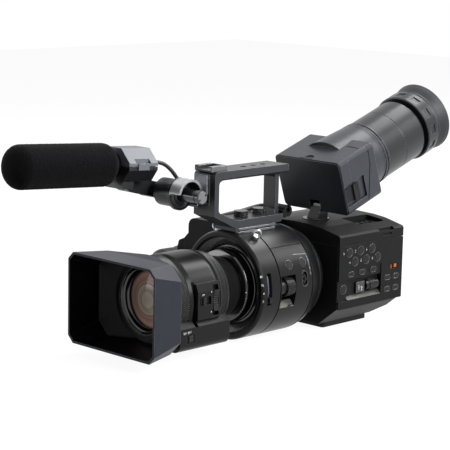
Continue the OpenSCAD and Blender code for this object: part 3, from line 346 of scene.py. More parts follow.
def finish(name, hexcode, roughness, metallic=0.0, specular=0.5, grain=0.0, depth=0.0,
           shade=0.12, patch=9.0, edge=0.35, edge_wear_and_glint_hex="#6a6c70", edge_mm=0.5, lining=None,
           painted=None):
    """An opaque finish. grain is the size and depth the depth of a surface texture, in mm.
    shade is how far the colour drifts over patches of patch mm. edge is how far corners
    rounded by edge_mm are lightened to edge_wear_and_glint_hex, part wear and part painted
    highlight; where edge is set, grooves and seams also get painted shade. lining colours the
    faces that look towards the optical axis; painted colours all but the upper shell about
    the microphone's hinge."""
    mat, tree = blank(name)
    place = add(tree, "TexCoord").outputs["Object"]
    cloud = add(tree, "TexNoise", {"Vector": place, "Scale": 1000 / patch, "Detail": 3.0})
    base = linear(hexcode)
    colour, layers = scaled(base, 1 - shade), [(cloud, scaled(base, 1 + shade))]
    rounding = add(tree, "Bevel", {"Radius": edge_mm * MM}, samples=4)
    normal = add(tree, "NewGeometry").outputs["Normal"]
    if lining:
        arm = arm_from(tree, place, (0, 0, AXIS[2] * MM), (1, 0, 1))
        facing = add(tree, "VectorMath", {0: arm, 1: normal},
                     operation="DOT_PRODUCT").outputs["Value"]
        inner = add(tree, "Math", {0: facing, 1: -0.1 * MM}, operation="LESS_THAN")
        layers.append((inner, linear(lining)))
    if painted:
        shell_r, shell_x, shell_z = 12.7 * MM, -0.0151, 0.1405
        hinge = (0, (AXIS[1] + MIC_HINGE[0]) * MM, (AXIS[2] + MIC_HINGE[1]) * MM)
        arm = arm_from(tree, place, hinge, (0, 1, 1))
        radius = add(tree, "VectorMath", {0: arm}, operation="LENGTH").outputs["Value"]
        at = add(tree, "SeparateXYZ", {"Vector": place})
        dark = add(tree, "Math", {0: radius, 1: shell_r}, operation="LESS_THAN")
        for side, limit in (("X", shell_x), ("Z", shell_z)):
            past = add(tree, "Math", {0: at.outputs[side], 1: limit}, operation="LESS_THAN")
            dark = add(tree, "Math", {0: dark, 1: past}, operation="MAXIMUM")
        layers.append((dark, linear(painted)))
    if edge:
        # Corners are lightened, part wear and part painted highlight, where the rounded normal leaves the
        # flat one and nothing is close by
        open_air = add(tree, "AmbientOcclusion", {"Distance": 1.6 * MM}, samples=4,
                       only_local=True).outputs["AO"]
        turn = add(tree, "VectorMath", {0: rounding, 1: normal},
                   operation="DOT_PRODUCT").outputs["Value"]
        wear_and_glint = add(tree, "MapRange", {"Value": turn, "From Min": 0.995, "From Max": 0.85,
                                      "To Min": 0.0, "To Max": edge})
        proud = add(tree, "MapRange", {"Value": open_air, "From Min": 0.75, "From Max": 0.95})
        wear_and_glint = add(tree, "Math", {0: wear_and_glint, 1: proud}, operation="MULTIPLY")
        # Painted shade: grooves and seams are darkened where the occlusion is close
        painted_groove_shade = add(tree, "MapRange", {"Value": open_air, "From Min": 0.62, "From Max": 0.2,
                                      "To Min": 0.0, "To Max": 0.85})
        layers += [(wear_and_glint, linear(edge_wear_and_glint_hex)), (painted_groove_shade, (0.002, 0.002, 0.002, 1))]
    for factor, over in layers:
        colour = add(tree, "Mix", {0: factor, 6: colour, 7: over}, data_type="RGBA").outputs[2]
    rough = add(tree, "MapRange", {"Value": cloud, "To Min": max(roughness - 0.02, 0.02),
                                   "To Max": min(roughness + 0.02, 1.0)})
    if grain:
        pits = add(tree, "TexNoise", {"Vector": place, "Scale": 1000 / grain, "Detail": 2.0})
        rounding = add(tree, "Bump", {"Height": pits, "Normal": rounding, "Strength": 0.7,
                                      "Distance": depth * MM})
    shader = add(tree, "BsdfPrincipled", {"Base Color": colour, "Roughness": rough,
                                          "Metallic": metallic, "Normal": rounding})
    if not metallic:
        shader.inputs["Specular IOR Level"].default_value = specular
    add(tree, "OutputMaterial", {"Surface": shader})
    return mat


def ringed_glass(name, rings):
    """Multi-coated optical glass, opaque: tinted rings about the optical axis, listed as
    (radius in mm, colour) from the middle out. The rings stand for the coatings' tint together
    with painted reflections of the elements behind, and the palest are painted highlight."""
    mat, tree = blank(name)
    place = add(tree, "TexCoord").outputs["Object"]
    arm = arm_from(tree, place, (0, 0, AXIS[2] * MM), (1, 0, 1))
    radius = add(tree, "VectorMath", {0: arm}, operation="LENGTH").outputs["Value"]
    colour = linear(rings[0][1])
    for (inner, _), (outer, tint) in zip(rings, rings[1:]):
        step = add(tree, "MapRange", {"Value": radius, "From Min": inner * MM,
                                      "From Max": outer * MM})
        colour = add(tree, "Mix", {0: step, 6: colour, 7: linear(tint)},
                     data_type="RGBA").outputs[2]
    shader = add(tree, "BsdfPrincipled", {"Base Color": colour, "Roughness": 0.03, "IOR": 1.52,
                                          "Specular IOR Level": 0.15})
    add(tree, "OutputMaterial", {"Surface": shader})
    return mat


def woven(name, hexcode, yarn_mm):
    """Nylon webbing, plain woven: ribs across and along at the yarn's spacing, by the
    piece's UVs in mm."""
    mat, tree = blank(name)
    axes = add(tree, "SeparateXYZ", {"Vector": add(tree, "UVMap", uv_map="UVMap")})
    waves = []
    for axis in ("X", "Y"):
        turn = add(tree, "Math", {0: axes.outputs[axis], 1: 2 * math.pi / yarn_mm},
                   operation="MULTIPLY")
        waves.append(add(tree, "Math", {0: turn}, operation="SINE"))
    weave = add(tree, "Math", {0: waves[0], 1: waves[1]}, operation="MULTIPLY")
    level = add(tree, "MapRange", {"Value": weave, "From Min": -1.0, "From Max": 1.0})
    base = linear(hexcode)
    colour = add(tree, "Mix", {0: level, 6: scaled(base, 0.6), 7: scaled(base, 1.5)},
                 data_type="RGBA").outputs[2]
    bump = add(tree, "Bump", {"Height": level, "Strength": 0.8, "Distance": 0.25 * MM})
    shader = add(tree, "BsdfPrincipled", {
        "Base Color": colour, "Roughness": 0.85, "Normal": bump, "Sheen Weight": 0.3,
        "Specular IOR Level": 0.3})
    add(tree, "OutputMaterial", {"Surface": shader})
    return mat


def foamed(name, hexcode, pore_mm):
    """Open-cell polyurethane foam: a dark, dead-matt skin broken by small round pores."""
    mat, tree = blank(name)
    place = add(tree, "TexCoord").outputs["Object"]
    cells = add(tree, "TexVoronoi", {"Vector": place, "Scale": 1000 / pore_mm}, feature="F1")
    fluff = add(tree, "TexNoise", {"Vector": place, "Scale": 1000 / (0.6 * pore_mm),
                                   "Detail": 4.0})
    both = add(tree, "Math", {0: cells, 1: fluff}, operation="MULTIPLY")
    base = linear(hexcode)
    colour = add(tree, "Mix", {0: both, 6: scaled(base, 0.4), 7: scaled(base, 1.6)},
                 data_type="RGBA").outputs[2]
    bump = add(tree, "Bump", {"Height": both, "Strength": 1.0, "Distance": 0.5 * MM})
    shader = add(tree, "BsdfPrincipled", {
        "Base Color": colour, "Roughness": 1.0, "Normal": bump, "Sheen Weight": 0.04,
        "Sheen Roughness": 0.5, "Specular IOR Level": 0.06})
    add(tree, "OutputMaterial", {"Surface": shader})
    return mat


def dress(piece, mat):
    """Gives a piece or a CAD node one material in every slot."""
    if not piece.data.materials:
        piece.data.materials.append(mat)
    for k in range(len(piece.material_slots)):
        piece.material_slots[k].material = mat


# ---- operators


class CAMCORDER_OT_stage(bpy.types.Operator):
    """Set up the plain floor, the soft lamps and the camera"""
    bl_idname = "camcorder.stage"
    bl_label = "Stage and camera"

    def execute(self, context):
        def raised(tree, level):
            """The level, raised to 1 for the rays that the eye follows."""
            ray = add(tree, "LightPath")
            for way in PLAIN_RAYS:
                level = add(tree, "Math", {0: level, 1: ray.outputs[way]}, operation="MAXIMUM")
            return level

        scene = context.scene
        scene.view_settings.view_transform = "Standard"
        data = bpy.data.cameras.new("camera")
        data.lens, data.sensor_width, data.shift_y = 131.7, 36.0, -0.0036
        data.clip_start, data.clip_end = 0.1, 20.0
        camera = bpy.data.objects.new("camera", data)
        # Columns: the camera's right, up and back, and where it stands
        camera.matrix_world = Matrix((
            (0.71360, -0.13710, 0.68700, 1.0444), (0.70025, 0.11098, -0.70522, -1.1935),
            (0.02045, 0.98431, 0.17520, 0.3766), (0, 0, 0, 1)))
        scene.collection.objects.link(camera)
        scene.camera = camera

        world = bpy.data.worlds.new("studio")
        scene.world = world
        world.use_nodes = True
        tree = world.node_tree
        tree.nodes.clear()
        # A dome that is brighter overhead lights the object; the eye and glass see plain white
        height = add(tree, "SeparateXYZ", {"Vector": add(tree, "TexCoord").outputs["Generated"]})
        dome = add(tree, "MapRange", {"Value": height.outputs["Z"], "From Min": -0.2,
                                      "From Max": 1.0, "To Min": 0.01, "To Max": 0.28})
        sky = add(tree, "Background", {"Color": (1, 1, 1, 1), "Strength": raised(tree, dome)})
        add(tree, "OutputWorld", {"Surface": sky})

        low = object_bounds()[0].z
        u = np.array([-3.0, 3.0])
        x, y = np.meshgrid(u, u, indexing="ij")
        floor = surfaces("floor", [joined(x, y, low - 0.0002)], around=False)
        mat, tree = blank("white_paper_floor")
        bounce = add(tree, "LightPath").outputs["Is Diffuse Ray"]
        paper = add(tree, "BsdfDiffuse", {"Color": add(tree, "Mix", {
            0: bounce, 6: (0.7, 0.7, 0.7, 1), 7: (0.1, 0.1, 0.1, 1)}, data_type="RGBA").outputs[2]})
        glow = add(tree, "Emission", {"Color": (1, 1, 1, 1), "Strength": 1.1})
        # The floor shows nearly white to the camera and still keeps some shadow
        share = add(tree, "Math", {0: raised(tree, 0.0), 1: 0.85}, operation="MULTIPLY")
        both = add(tree, "MixShader", {0: share, 1: paper, 2: glow})
        add(tree, "OutputMaterial", {"Surface": both})
        dress(floor, mat)
        floor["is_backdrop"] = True

        for name, at, aim, size, power in (
            ("side_softbox", (1.35, 0.1, 0.85), (0, 0, 0.12), 0.8, 31.0),
            ("rear_key", (-0.05, 1.05, 1.25), (0, 0, 0.12), 0.7, 18.0),
            ("flank_key", (0.6, 1.2, 0.95), (0, 0, 0.12), 0.5, 7.0),
            ("top_softbox", (0.0, -0.1, 1.45), (0, 0, 0.1), 0.8, 2.0),
            ("front_fill", (-1.15, -1.25, 0.25), (0, -0.15, 0.08), 0.8, 7.0),
            ("far_fill", (-1.4, -0.1, 0.8), (0, 0, 0.1), 0.9, 7.0),
        ):
            light = bpy.data.lights.new(name, "AREA")
            light.shape, light.size, light.energy = "SQUARE", size, power
            lamp = bpy.data.objects.new(name, light)
            lamp.location = at
            lamp.rotation_euler = (Vector(aim) - Vector(at)).to_track_quat("-Z", "Y").to_euler()
            scene.collection.objects.link(lamp)
        return {"FINISHED"}


CABLE_ROUTE = [
    (-48, -55.9, 113.2), (-48, -51, 113.6), (-47, -44, 113.2), (-45.4, -37, 110.4), (-43, -31, 104.5),
    (-40, -26, 96.5), (-36, -21.5, 88), (-31, -17, 80), (-25.5, -12, 72.5), (-20.5, -5, 65.5),
    (-18, 4, 61.6), (-17.5, 20, 62.4), (-17.5, 38, 63.6), (-18, 52, 65), (-20, 65, 65.2), (-25, 77, 63.4),
    (-34, 87, 61), (-48, 95, 57.6), (-64, 102, 52.6), (-80, 109, 46), (-95, 117, 38), (-108, 126, 29),
    (-118, 136, 19.6), (-122.4, 145, 12.4), (-120.4, 150.8, 8.6), (-114.4, 152, 8)]


class CAMCORDER_OT_mic_lead(bpy.types.Operator):
    """Run the microphone lead from the microphone to its connector"""
    bl_idname = "camcorder.mic_lead"
    bl_label = "Microphone lead"

    def execute(self, context):
        width = context.scene.camcorder_sizes.cable_diameter
        route = placed(rounded_route(CABLE_ROUTE, 260))
        lead = surfaces("mic_lead", [tube(route, width / 2)], caps=True)
        dress(lead, finish("pvc_lead_sheath", "#151516", 0.5, grain=0.8, depth=0.03, edge=0.0))
        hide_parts("mic_cable")
        placed((-31, -17, 80)).tolist()
        placed((-47, -44, 113.2)).tolist()
        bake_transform(lead)
        return {"FINISHED"}


class CAMCORDER_OT_windscreen(bpy.types.Operator):
    """Make the foam windscreen over the microphone"""
    bl_idname = "camcorder.windscreen"
    bl_label = "Foam windscreen"

    def execute(self, context):
        sizes = context.scene.camcorder_sizes
        r = sizes.foam_radius / MM
        # Profile from the nose to the open back: domed nose, long barrel, rolled lip, inner bore
        y0, y1, nose_long, lip_r = -174.0, -61.5, 13, 8
        t = np.linspace(0, np.pi / 2, 40)
        nose = joined(y0 + nose_long * (1 - np.cos(t)),
                      (r - nose_long) * np.sin(t) ** 0.55 + nose_long * np.sin(t))
        run = np.linspace(y0 + nose_long, y1 - lip_r, 260)[1:-1]
        run = joined(run, r)
        t = np.linspace(np.pi / 2, 0, 12)
        lip = joined(y1 - lip_r + lip_r * np.cos(t), r - lip_r + lip_r * np.sin(t))
        profile = np.vstack([nose, run, lip, [[y1, 11.2], [y1 - 6, 10.7]]])
        n = 220
        grid = turned(profile, n, about_mic, *MIC_TUBE)
        # Cell-sized lumps, drawn once from a fixed seed, fading out towards the nose's tip
        rng = np.random.default_rng(7)
        lumps = rng.normal(0, 1, (len(profile), n))
        lumps = (lumps + np.roll(lumps, 1, 1) + np.roll(lumps, 1, 0)) / 3
        lumps = np.clip(lumps, -1.4, 1.4)[..., None]
        y = profile[:, 0]
        centre = about_mic(joined(MIC_TUBE[0], y, MIC_TUBE[1]))[:, None]
        out = grid - centre
        out = out / np.maximum(np.linalg.norm(out, axis=2, keepdims=True), 1e-6)
        fade = np.clip(profile[:, 1] / 6, 0, 1)[:, None, None]
        swell, sink = 0.16, 0.2
        grid = grid + out * lumps * swell * MM * fade - out * sink * MM * fade
        foam = surfaces("foam_windscreen", [grid], smooth=80)
        dress(foam, foamed("open_cell_foam", "#111113", sizes.foam_pore / MM))
        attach(foam, "mic_arm")
        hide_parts("windscreen")
        return {"FINISHED"}


class CAMCORDER_OT_hand_strap(bpy.types.Operator):
    """Sew the hand strap round the grip"""
    bl_idname = "camcorder.hand_strap"
    bl_label = "Hand strap"

    def execute(self, context):
        thick = context.scene.camcorder_sizes.strap_thickness / MM
        x0, r, y_front, y_rear = -98.4, 28.25, 26.8, 79.7
        turn = np.radians(np.linspace(-90, -180, 40))
        front = joined(x0 + r * np.cos(turn), y_front + r * np.sin(turn))
        rear = joined(x0 + r * np.cos(-turn), y_rear + r * np.sin(-turn))[::-1]
        line = np.vstack([[[x0 + 3.6, -1.45]], front, rear, [[x0 + 3.6, 107.95]]])
        s = lengths(line)
        rows, around = 150, 44
        line = resampled(line, np.linspace(0, s[-1], rows))
        d = np.gradient(line, axis=0)
        d /= np.linalg.norm(d, axis=1, keepdims=True)
        out = joined(d[:, 1], -d[:, 0])
        # Section: 32 wide, thin, with rounded selvedges: half the width by |cos t|^0.3,
        # half the thickness by |sin t|^0.6
        t = ring_angles(around)
        v = 15.9 * np.sign(np.cos(t)) * np.abs(np.cos(t)) ** 0.3
        w = thick / 2 * np.sign(np.sin(t)) * np.abs(np.sin(t)) ** 0.6
        grid = joined(line[:, :1] + out[:, :1] * w, line[:, 1:] + out[:, 1:] * w,
                      v - 12)
        strap = surfaces("hand_strap", [placed(grid)], caps=True, uvs=[(s[-1] / (rows - 1), 1.5)])
        dress(strap, woven("nylon_webbing", "#1a1a1c", 1.4))
        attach(strap, "grip")
        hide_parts("grip_strap")
        # Two rows of lock stitches, one thread every 3 mm
        thread = []
        for z in (1.6, -25.6):
            for k in range(6, 144, 3):
                c, along, side = line[k], d[k], out[k]
                a = np.linspace(-1.1, 1.1, 5)[:, None]
                mid = c + a * along + side * (thick / 2 + 0.12 - 0.12 * a**2)
                path = placed(np.column_stack([mid, np.full(5, z)]))
                thread.append(tube(path, 0.22 * MM, 5))
        sewing = surfaces("strap_stitches", thread, caps=True)
        dress(sewing, finish("bonded_nylon_thread", "#2b2b2e", 0.6, edge=0.0))
        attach(sewing, "grip")
        return {"FINISHED"}


def knurled(name, profile, ribs, depth, slant):
    """Ring with slanted rounded ribs: radius r(y) - depth/2 (1 - cos(ribs (t + slant y))) on the
    rows where the profile's third value is 1. The profile runs round the ring's whole section."""
    p = np.asarray(profile, float)
    t = ring_angles(ribs * 4)
    y, r, rib = (p[:, k : k + 1] for k in range(3))
    r = r - rib * depth / 2 * (1 - np.cos(ribs * (t + slant * y)))
    grid = placed(joined(r * np.cos(t), y, r * np.sin(t)))
    return surfaces(name, [grid], along=True, smooth=60)


class CAMCORDER_OT_lens_rings(bpy.types.Operator):
    """Cut the fine slanted ribs of the zoom and focus rings"""
    bl_idname = "camcorder.lens_rings"
    bl_label = "Ribbed lens rings"

    def execute(self, context):
        # The rib crests are lightened by painted highlight through the finish's edge
        grip = finish("knurled_ring_rubber", "#202021", 0.36, specular=0.4, edge=0.5,
                      edge_wear_and_glint_hex="#a2a4a7", edge_mm=0.2)
        for node, y0, r0, y1, r1, inner in (("lens_zoom_ring", -32, 36.0, -46, 38.6, 32.0),
                                            ("lens_focus_ring", -84.9, 39.2, -97.4, 39.2, 34.6)):
            turn = 0.1 + 0.8 * np.linspace(0, 1, 16)
            rows = joined(y0 + (y1 - y0) * turn, r0 + (r1 - r0) * turn, 1)
            end = 0.07 * (y1 - y0)
            profile = np.vstack([[(y0, inner, 0), (y0, r0 - 1.0, 0), (y0 + end, r0 - 0.1, 0)], rows,
                                 [(y1 - end, r1 - 0.1, 0), (y1, r1 - 0.8, 0), (y1, inner, 0)]])
            ring = knurled(node + "_ribs", profile, ribs=140, depth=1.1, slant=0.013)
            dress(ring, grip)
            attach(ring, node)
            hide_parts(node)
        return {"FINISHED"}


class CAMCORDER_OT_lens_front(bpy.types.Operator):
    """Set the front element, its retaining rings and the polished bayonet"""
    bl_idname = "camcorder.lens_front"
    bl_label = "Front glass and mount"

    def execute(self, context):
        a = np.linspace(0, 1, 40)
        dome = joined(-100.2 + 4.4 * a**2, 26.4 * a)
        rear = joined(-94.2 + 0.8 * a[::-1] ** 2, 26.4 * a[::-1])
        glass = surfaces("front_element", [turned(np.vstack([dome, rear]))], smooth=50)
        # Rings of coating tint and painted reflections of the inner elements; the pale rings at 7 and
        # 13.2 mm are painted highlight
        dress(glass, ringed_glass("front_glass_tint_and_painted_reflections", [
            (0, "#c8bcab"), (7, "#e6d8c6"), (8, "#c0b2a1"), (12.6, "#dccdbc"), (13.2, "#fff2e2"),
            (14, "#c09a8c"), (17, "#e6b8a8"), (17.6, "#c89a8a"), (23, "#f2c6b6"),
            (25.4, "#b98f80"), (26.3, "#3a2c28")]))
        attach(glass, "body")
        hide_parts("lens_glass")

        # Black glossy bezel that steps down to the glass, with the thread of the filter ring
        step = [(-105.9, 30.95), (-105.9, 30.4), (-104.6, 30.2)]
        for k in range(3):
            step += [(-104.2 + 0.9 * k, 29.7), (-103.8 + 0.9 * k, 30.1)]
        step += [(-101.4, 29.4), (-101.0, 28.6), (-100.6, 28.4), (-98.2, 27.2), (-97.8, 26.6),
                 (-96.4, 26.2), (-95.0, 26.2), (-95.0, 30.95)]
        bezel = surfaces("glass_retaining_ring", [turned(step)], along=True)
        # This glossy black finish lightens its corners with painted highlight
        gloss = finish("black_anodised_ring", "#0b0b0c", 0.16, specular=0.7, shade=0.05, edge=0.5,
                       edge_wear_and_glint_hex="#8d8f93", edge_mm=0.25)
        dress(bezel, gloss)
        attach(bezel, "body")

        # Bayonet mount: wide polished throat; its front edge is bright from painted highlight, in the
        # lighter corners and the white arc below
        mount = surfaces("bayonet_mount", [turned([
            (-8, 23.3), (-8, 32.6), (-7.7, 33.2), (-6.6, 33.9), (-5.8, 34.0), (-5.6, 33.6),
            (1.8, 34.2), (2.2, 34.8), (4.2, 35.4), (4.8, 36.8), (7.5, 36.8), (7.5, 23.3)])],
            along=True)
        dress(mount, gloss)
        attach(mount, "body")
        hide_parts("lens_mount")

        def lip(p, h):
            """Maps (slant distance, angle in tens of degrees) onto the bayonet's front edge."""
            t = np.radians(p[:, 1] * 10)
            r = 33.4 + 0.8 * p[:, 0]
            return placed(joined(r * np.cos(t), -7.8 + 0.5 * p[:, 0] - h, r * np.sin(t)))

        # Painted highlight: a thin white arc along the bayonet's front edge; the short bar is the printed
        # index mark
        arc = [(0.2, v) for v in np.linspace(-0.9, -5.2, 30)]
        index = [(-0.9, -0.2), (0.5, -0.2)]
        index_and_glint = surfaces("bayonet_index_and_glint", strokes([arc], 0.06, 0.08, lip)
                        + strokes([index], 0.24, 0.1, lip), caps=True, smooth=30)
        dress(index_and_glint, finish("white_index_and_glint_paint", "#d9dadb", 0.4, shade=0.05, edge=0.0))
        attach(index_and_glint, "body")

        # Lathe marks of the bowl: a zigzag of 0.62 mm pitch and 0.09 mm depth up the cone
        k = np.arange(29)
        u = k / 28
        out = 0.16 + 0.045 * (-1.0) ** k
        cone = joined(-2.4 + 5.8 * u - 0.72 * out, 44.45 - 6.0 * u - 0.70 * out)
        cone = np.vstack([cone, [(3.5, 38.6), (-2.3, 44.6)]])
        bowl = surfaces("bowl_lathe_marks", [turned(cone, 180)], along=True, smooth=5)
        dress(bowl, gloss)
        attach(bowl, "body")
        return {"FINISHED"}


class CAMCORDER_OT_bezels(bpy.types.Operator):
    """Fit the rims round the buttons, the ledges' painted highlight, the dark seams and the recess's
    painted shade
    """
    bl_idname = "camcorder.bezels"
    bl_label = "Bezels, ledges and seams"

    def execute(self, context):
        side, barrel = on_flat(PANEL_X), on_barrel(BARREL_R)
        turn = np.linspace(0, 2 * np.pi, 41)

        def rim(u, v, half_u, half_v, corner):
            """Closed line round a rounded rectangle: a circle whose quarters are pushed out to
            the corners."""
            c, d = np.cos(turn), np.sin(turn)
            return joined(u + corner * c + np.sign(np.round(c, 6)) * (half_u - corner),
                          v + corner * d + np.sign(np.round(d, 6)) * (half_v - corner))

        grids = []
        for face, half_u, half_v, corner, width, height, places in (
            (side, 4.35, 4.35, 4.35, 0.75, 0.28, (
                (106.5, 25.7), (123.2, 25.9), (139.9, 26.1), (115, 16.1), (131.7, 16.3),
                (148.4, 16.5))),
            (on_flat(PANEL_X - 1.6), 4.35, 4.35, 4.35, 0.75, 0.28, ((100.6, -9.6),)),
            (side, 4.15, 2.45, 1.6, 0.55, 0.2, (
                (109.7, 4.3), (126.2, 4.6), (142.7, 4.9), (165, -6), (178, -6), (165, -17.6),
                (178, -17.6))),
            (barrel, 4.3, 4.3, 4.3, 0.8, 0.3, ((34.4, 22.3), (53, 22.5))),
            (barrel, 3.8, 7.2, 3.7, 0.8, 0.25, ((52.5, 6.83),)),
        ):
            for u, v in places:
                grids += strokes([rim(u, v, half_u, half_v, corner)], width, height, face)
        rims = surfaces("control_rims", grids, caps=True, smooth=30)
        dress(rims, finish("polished_black_rim", "#060607", 0.2, specular=0.9, edge=0.0, shade=0.05))
        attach(rims, "body")

        # Painted highlight: pale sloping strips under the jog dial and under the iris dial
        def ledge(low, high, y0, y1, thick):
            """Flat strip between two (x, z) edges, carried from y0 to y1, thick mm off its bed."""
            (x0, z0), (x1, z1) = low, high
            n = np.array([z1 - z0, x0 - x1]) / math.hypot(x1 - x0, z1 - z0) * thick
            ring = np.array([(x0, z0), (x1, z1), (x1 + n[0], z1 + n[1]), (x0 + n[0], z0 + n[1])])
            y = np.linspace(y0, y1, 24)[:, None]
            x, z = ring[None, :, 0], ring[None, :, 1]
            return placed(joined(x, y, z))

        pale = surfaces("ledge_highlight_strips", [
            ledge((PANEL_X - 0.2, -20.55), (PANEL_X - 4.3, -16.9), 105.6, 155.0, 0.12),
            ledge((48.9, -17.5), (44.2, -11.6), 21.2, 40.0, 0.12)], caps=True, smooth=20)
        dress(pale, finish("painted_ledge_highlight", "#3f3e39", 0.4, specular=0.4, edge=0.0))
        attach(pale, "body")

        # Filter slot: blue-grey shutter on its floor
        u = np.radians(np.linspace(17.5, -12, 40))[:, None]
        ring = np.array([(2.2, 47.4), (7.4, 47.4), (7.4, 47.57), (2.2, 47.57)])
        y, r = ring[None, :, 0], ring[None, :, 1]
        shutter = surfaces("filter_slot_floor", [
            placed(joined(r * np.cos(u), y, r * np.sin(u)))], caps=True)
        dress(shutter, finish("anodised_slot_floor", "#7d8594", 0.4, specular=0.5, edge=0.0))
        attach(shutter, "body")

        # Small ribbed slides: on the drive box under the lens, and below the iris dial
        drive = on_flat(40.85)
        slides = strokes([[(-87.8, -30.2), (-83.2, -30.2)]], 5.4, 0.8, drive)
        slides += strokes([[(y, -32.5), (y, -27.9)] for y in (-86.9, -85.5, -84.1)], 0.55, 1.3, drive)
        slides += strokes([[(33.0, -16.7), (36.6, -16.7)]], 2.6, 0.5, barrel)
        slides += strokes([[(y, -17.8), (y, -15.6)] for y in (33.8, 34.8, 35.8)], 0.4, 0.9, barrel)
        ribs = surfaces("ribbed_slides", slides, caps=True, smooth=20)
        dress(ribs, finish("moulded_slide_abs", "#2c2d30", 0.32, specular=0.4, edge=0.6,
                           edge_wear_and_glint_hex="#a9abae", edge_mm=0.2))
        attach(ribs, "body")

        # Index window beside the jog dial, glossy, with its white scale
        bed = PANEL_X - 1.7
        window = surfaces("index_window", [ledge((bed, -15.6), (bed, -5.2), 119.7, 132.0, 0.25)],
                          caps=True, smooth=20)
        dress(window, finish("smoked_index_window", "#060607", 0.06, specular=0.9, edge=0.0, shade=0.0))
        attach(window, "body")

        # Moulded seams of monitor and loupe, drawn as dark joint lines
        seam = strokes([[(36.8, 48), (36.1, 33.5), (25.4, 1)]], 0.8, 0.2,
                       on_flat(41.7, place=about_finder))
        seam += strokes([[(22, 30.3), (27.2, 29.9), (37, 28.8)]], 0.8, 0.2,
                        on_flat(52.5, 2, place=about_finder))
        seams = surfaces("moulded_seams", seam, caps=True, smooth=30)
        dress(seams, finish("joint_line_shade", "#0b0c0d", 0.7, specular=0.1, edge=0.0))
        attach(seams, "monitor")

        # Bright, pale metallic strip along the outline of the recess that carries the microphone's
        # bracket
        frame_line = surfaces("recess_outline", strokes(
            [[(6.4, 79), (6.4, 107.2), (-11.6, 107.2), (-11.6, 79)]], 0.7, 0.3, on_flat(-31, 1, -1)),
            caps=True, smooth=30)
        # Painted shade: near-black sheets laid on two faces of the recess
        shade_sheets = strokes([[(-3, 79.8), (-3, 106.7)]], 15.6, 0.05, on_flat(-27.5, 1, -1))
        shade_sheets += strokes([[(-29.2, 79.8), (-29.2, 106.7)]], 3.2, 0.05, on_flat(-11))
        recess_shade = surfaces("recess_painted_shade", shade_sheets, caps=True, smooth=20)
        dress(recess_shade, finish("painted_recess_shade", "#050506", 0.6, specular=0.1, edge=0.0))
        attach(recess_shade, "body")
        dress(frame_line, finish("pale_metal_recess_outline", "#84878c", 0.3, metallic=0.6, edge=0.0))
        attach(frame_line, "body")
        return {"FINISHED"}


class CAMCORDER_OT_mic_joint(bpy.types.Operator):
    """Turn the clamping shaft, its slotted cap and the collar of the microphone's joint"""
    bl_idname = "camcorder.mic_joint"
    bl_label = "Microphone joint"

    def execute(self, context):
        def about_x(points, n=72):
            """Turned about the microphone's hinge: (x, r) carried round X."""
            p = np.asarray(points, float)
            t = ring_angles(n)
            y, z = (at + p[:, 1:] * turn for at, turn in zip(MIC_HINGE, (np.cos(t), np.sin(t))))
            return placed(joined(p[:, :1], y, z))

        shaft = surfaces("clamping_shaft", [about_x([
            (-15.2, 0), (-15.2, 5.7), (-14.8, 6.0), (6.9, 6.0), (7.1, 5.4), (8.0, 5.4),
            (8.2, 6.0), (8.6, 6.4), (12.0, 6.4), (12.6, 5.9), (12.7, 0)])])
        dress(shaft, finish("polished_clamping_shaft", "#242528", 0.22, specular=0.7, shade=0.08,
                            edge=0.4, edge_wear_and_glint_hex="#9da0a4", edge_mm=0.4))
        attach(shaft, "mic_knob")
        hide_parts("mic_knob")
        # Face of the cap, with a slot for a coin
        cap = surfaces("slotted_cap_face", [
            about_x([(12.66, 0), (12.66, 5.6), (12.9, 5.4), (12.95, 0)])])
        dress(cap, finish("spun_aluminium_cap", "#77787b", 0.35, metallic=0.4, grain=0.3,
                          depth=0.01, edge=0.3))
        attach(cap, "mic_knob")

        def face(p, h):
            """Maps (u, v), turned by 30 degrees, onto the cap."""
            c, s = math.cos(math.radians(30)), math.sin(math.radians(30))
            y, z = p[:, 0] * c - p[:, 1] * s, p[:, 0] * s + p[:, 1] * c
            return placed(joined(12.93 + h, MIC_HINGE[0] + y, MIC_HINGE[1] + z))

        # Painted shade: the coin slot is not cut, and two dark strips stand where its ends lie in shade
        slot = surfaces("cap_slot_shade", strokes(
            [[(-5.2, 0), (-3.2, 0)], [(3.2, 0), (5.2, 0)]], 1.3, 0.06, face), caps=True)
        dress(slot, finish("slot_shade", "#060607", 0.7, specular=0.1, edge=0.0))
        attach(slot, "mic_knob")
        collar = surfaces("joint_collar", [about_x([
            (-15.35, 6.3), (-15.35, 12.2), (-14.6, 12.2), (-14.2, 11.8), (-14.2, 10.6),
            (-14.9, 10.3), (-14.9, 9.0), (-13.6, 8.7), (-13.2, 8.2), (-13.2, 6.8),
            (-13.8, 6.4)])], along=True)
        dress(collar, finish("turned_joint_collar", "#2b2c2f", 0.3, specular=0.5, edge=0.7,
                             edge_wear_and_glint_hex="#b4b7bb", edge_mm=0.3))
        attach(collar, "body")
        return {"FINISHED"}


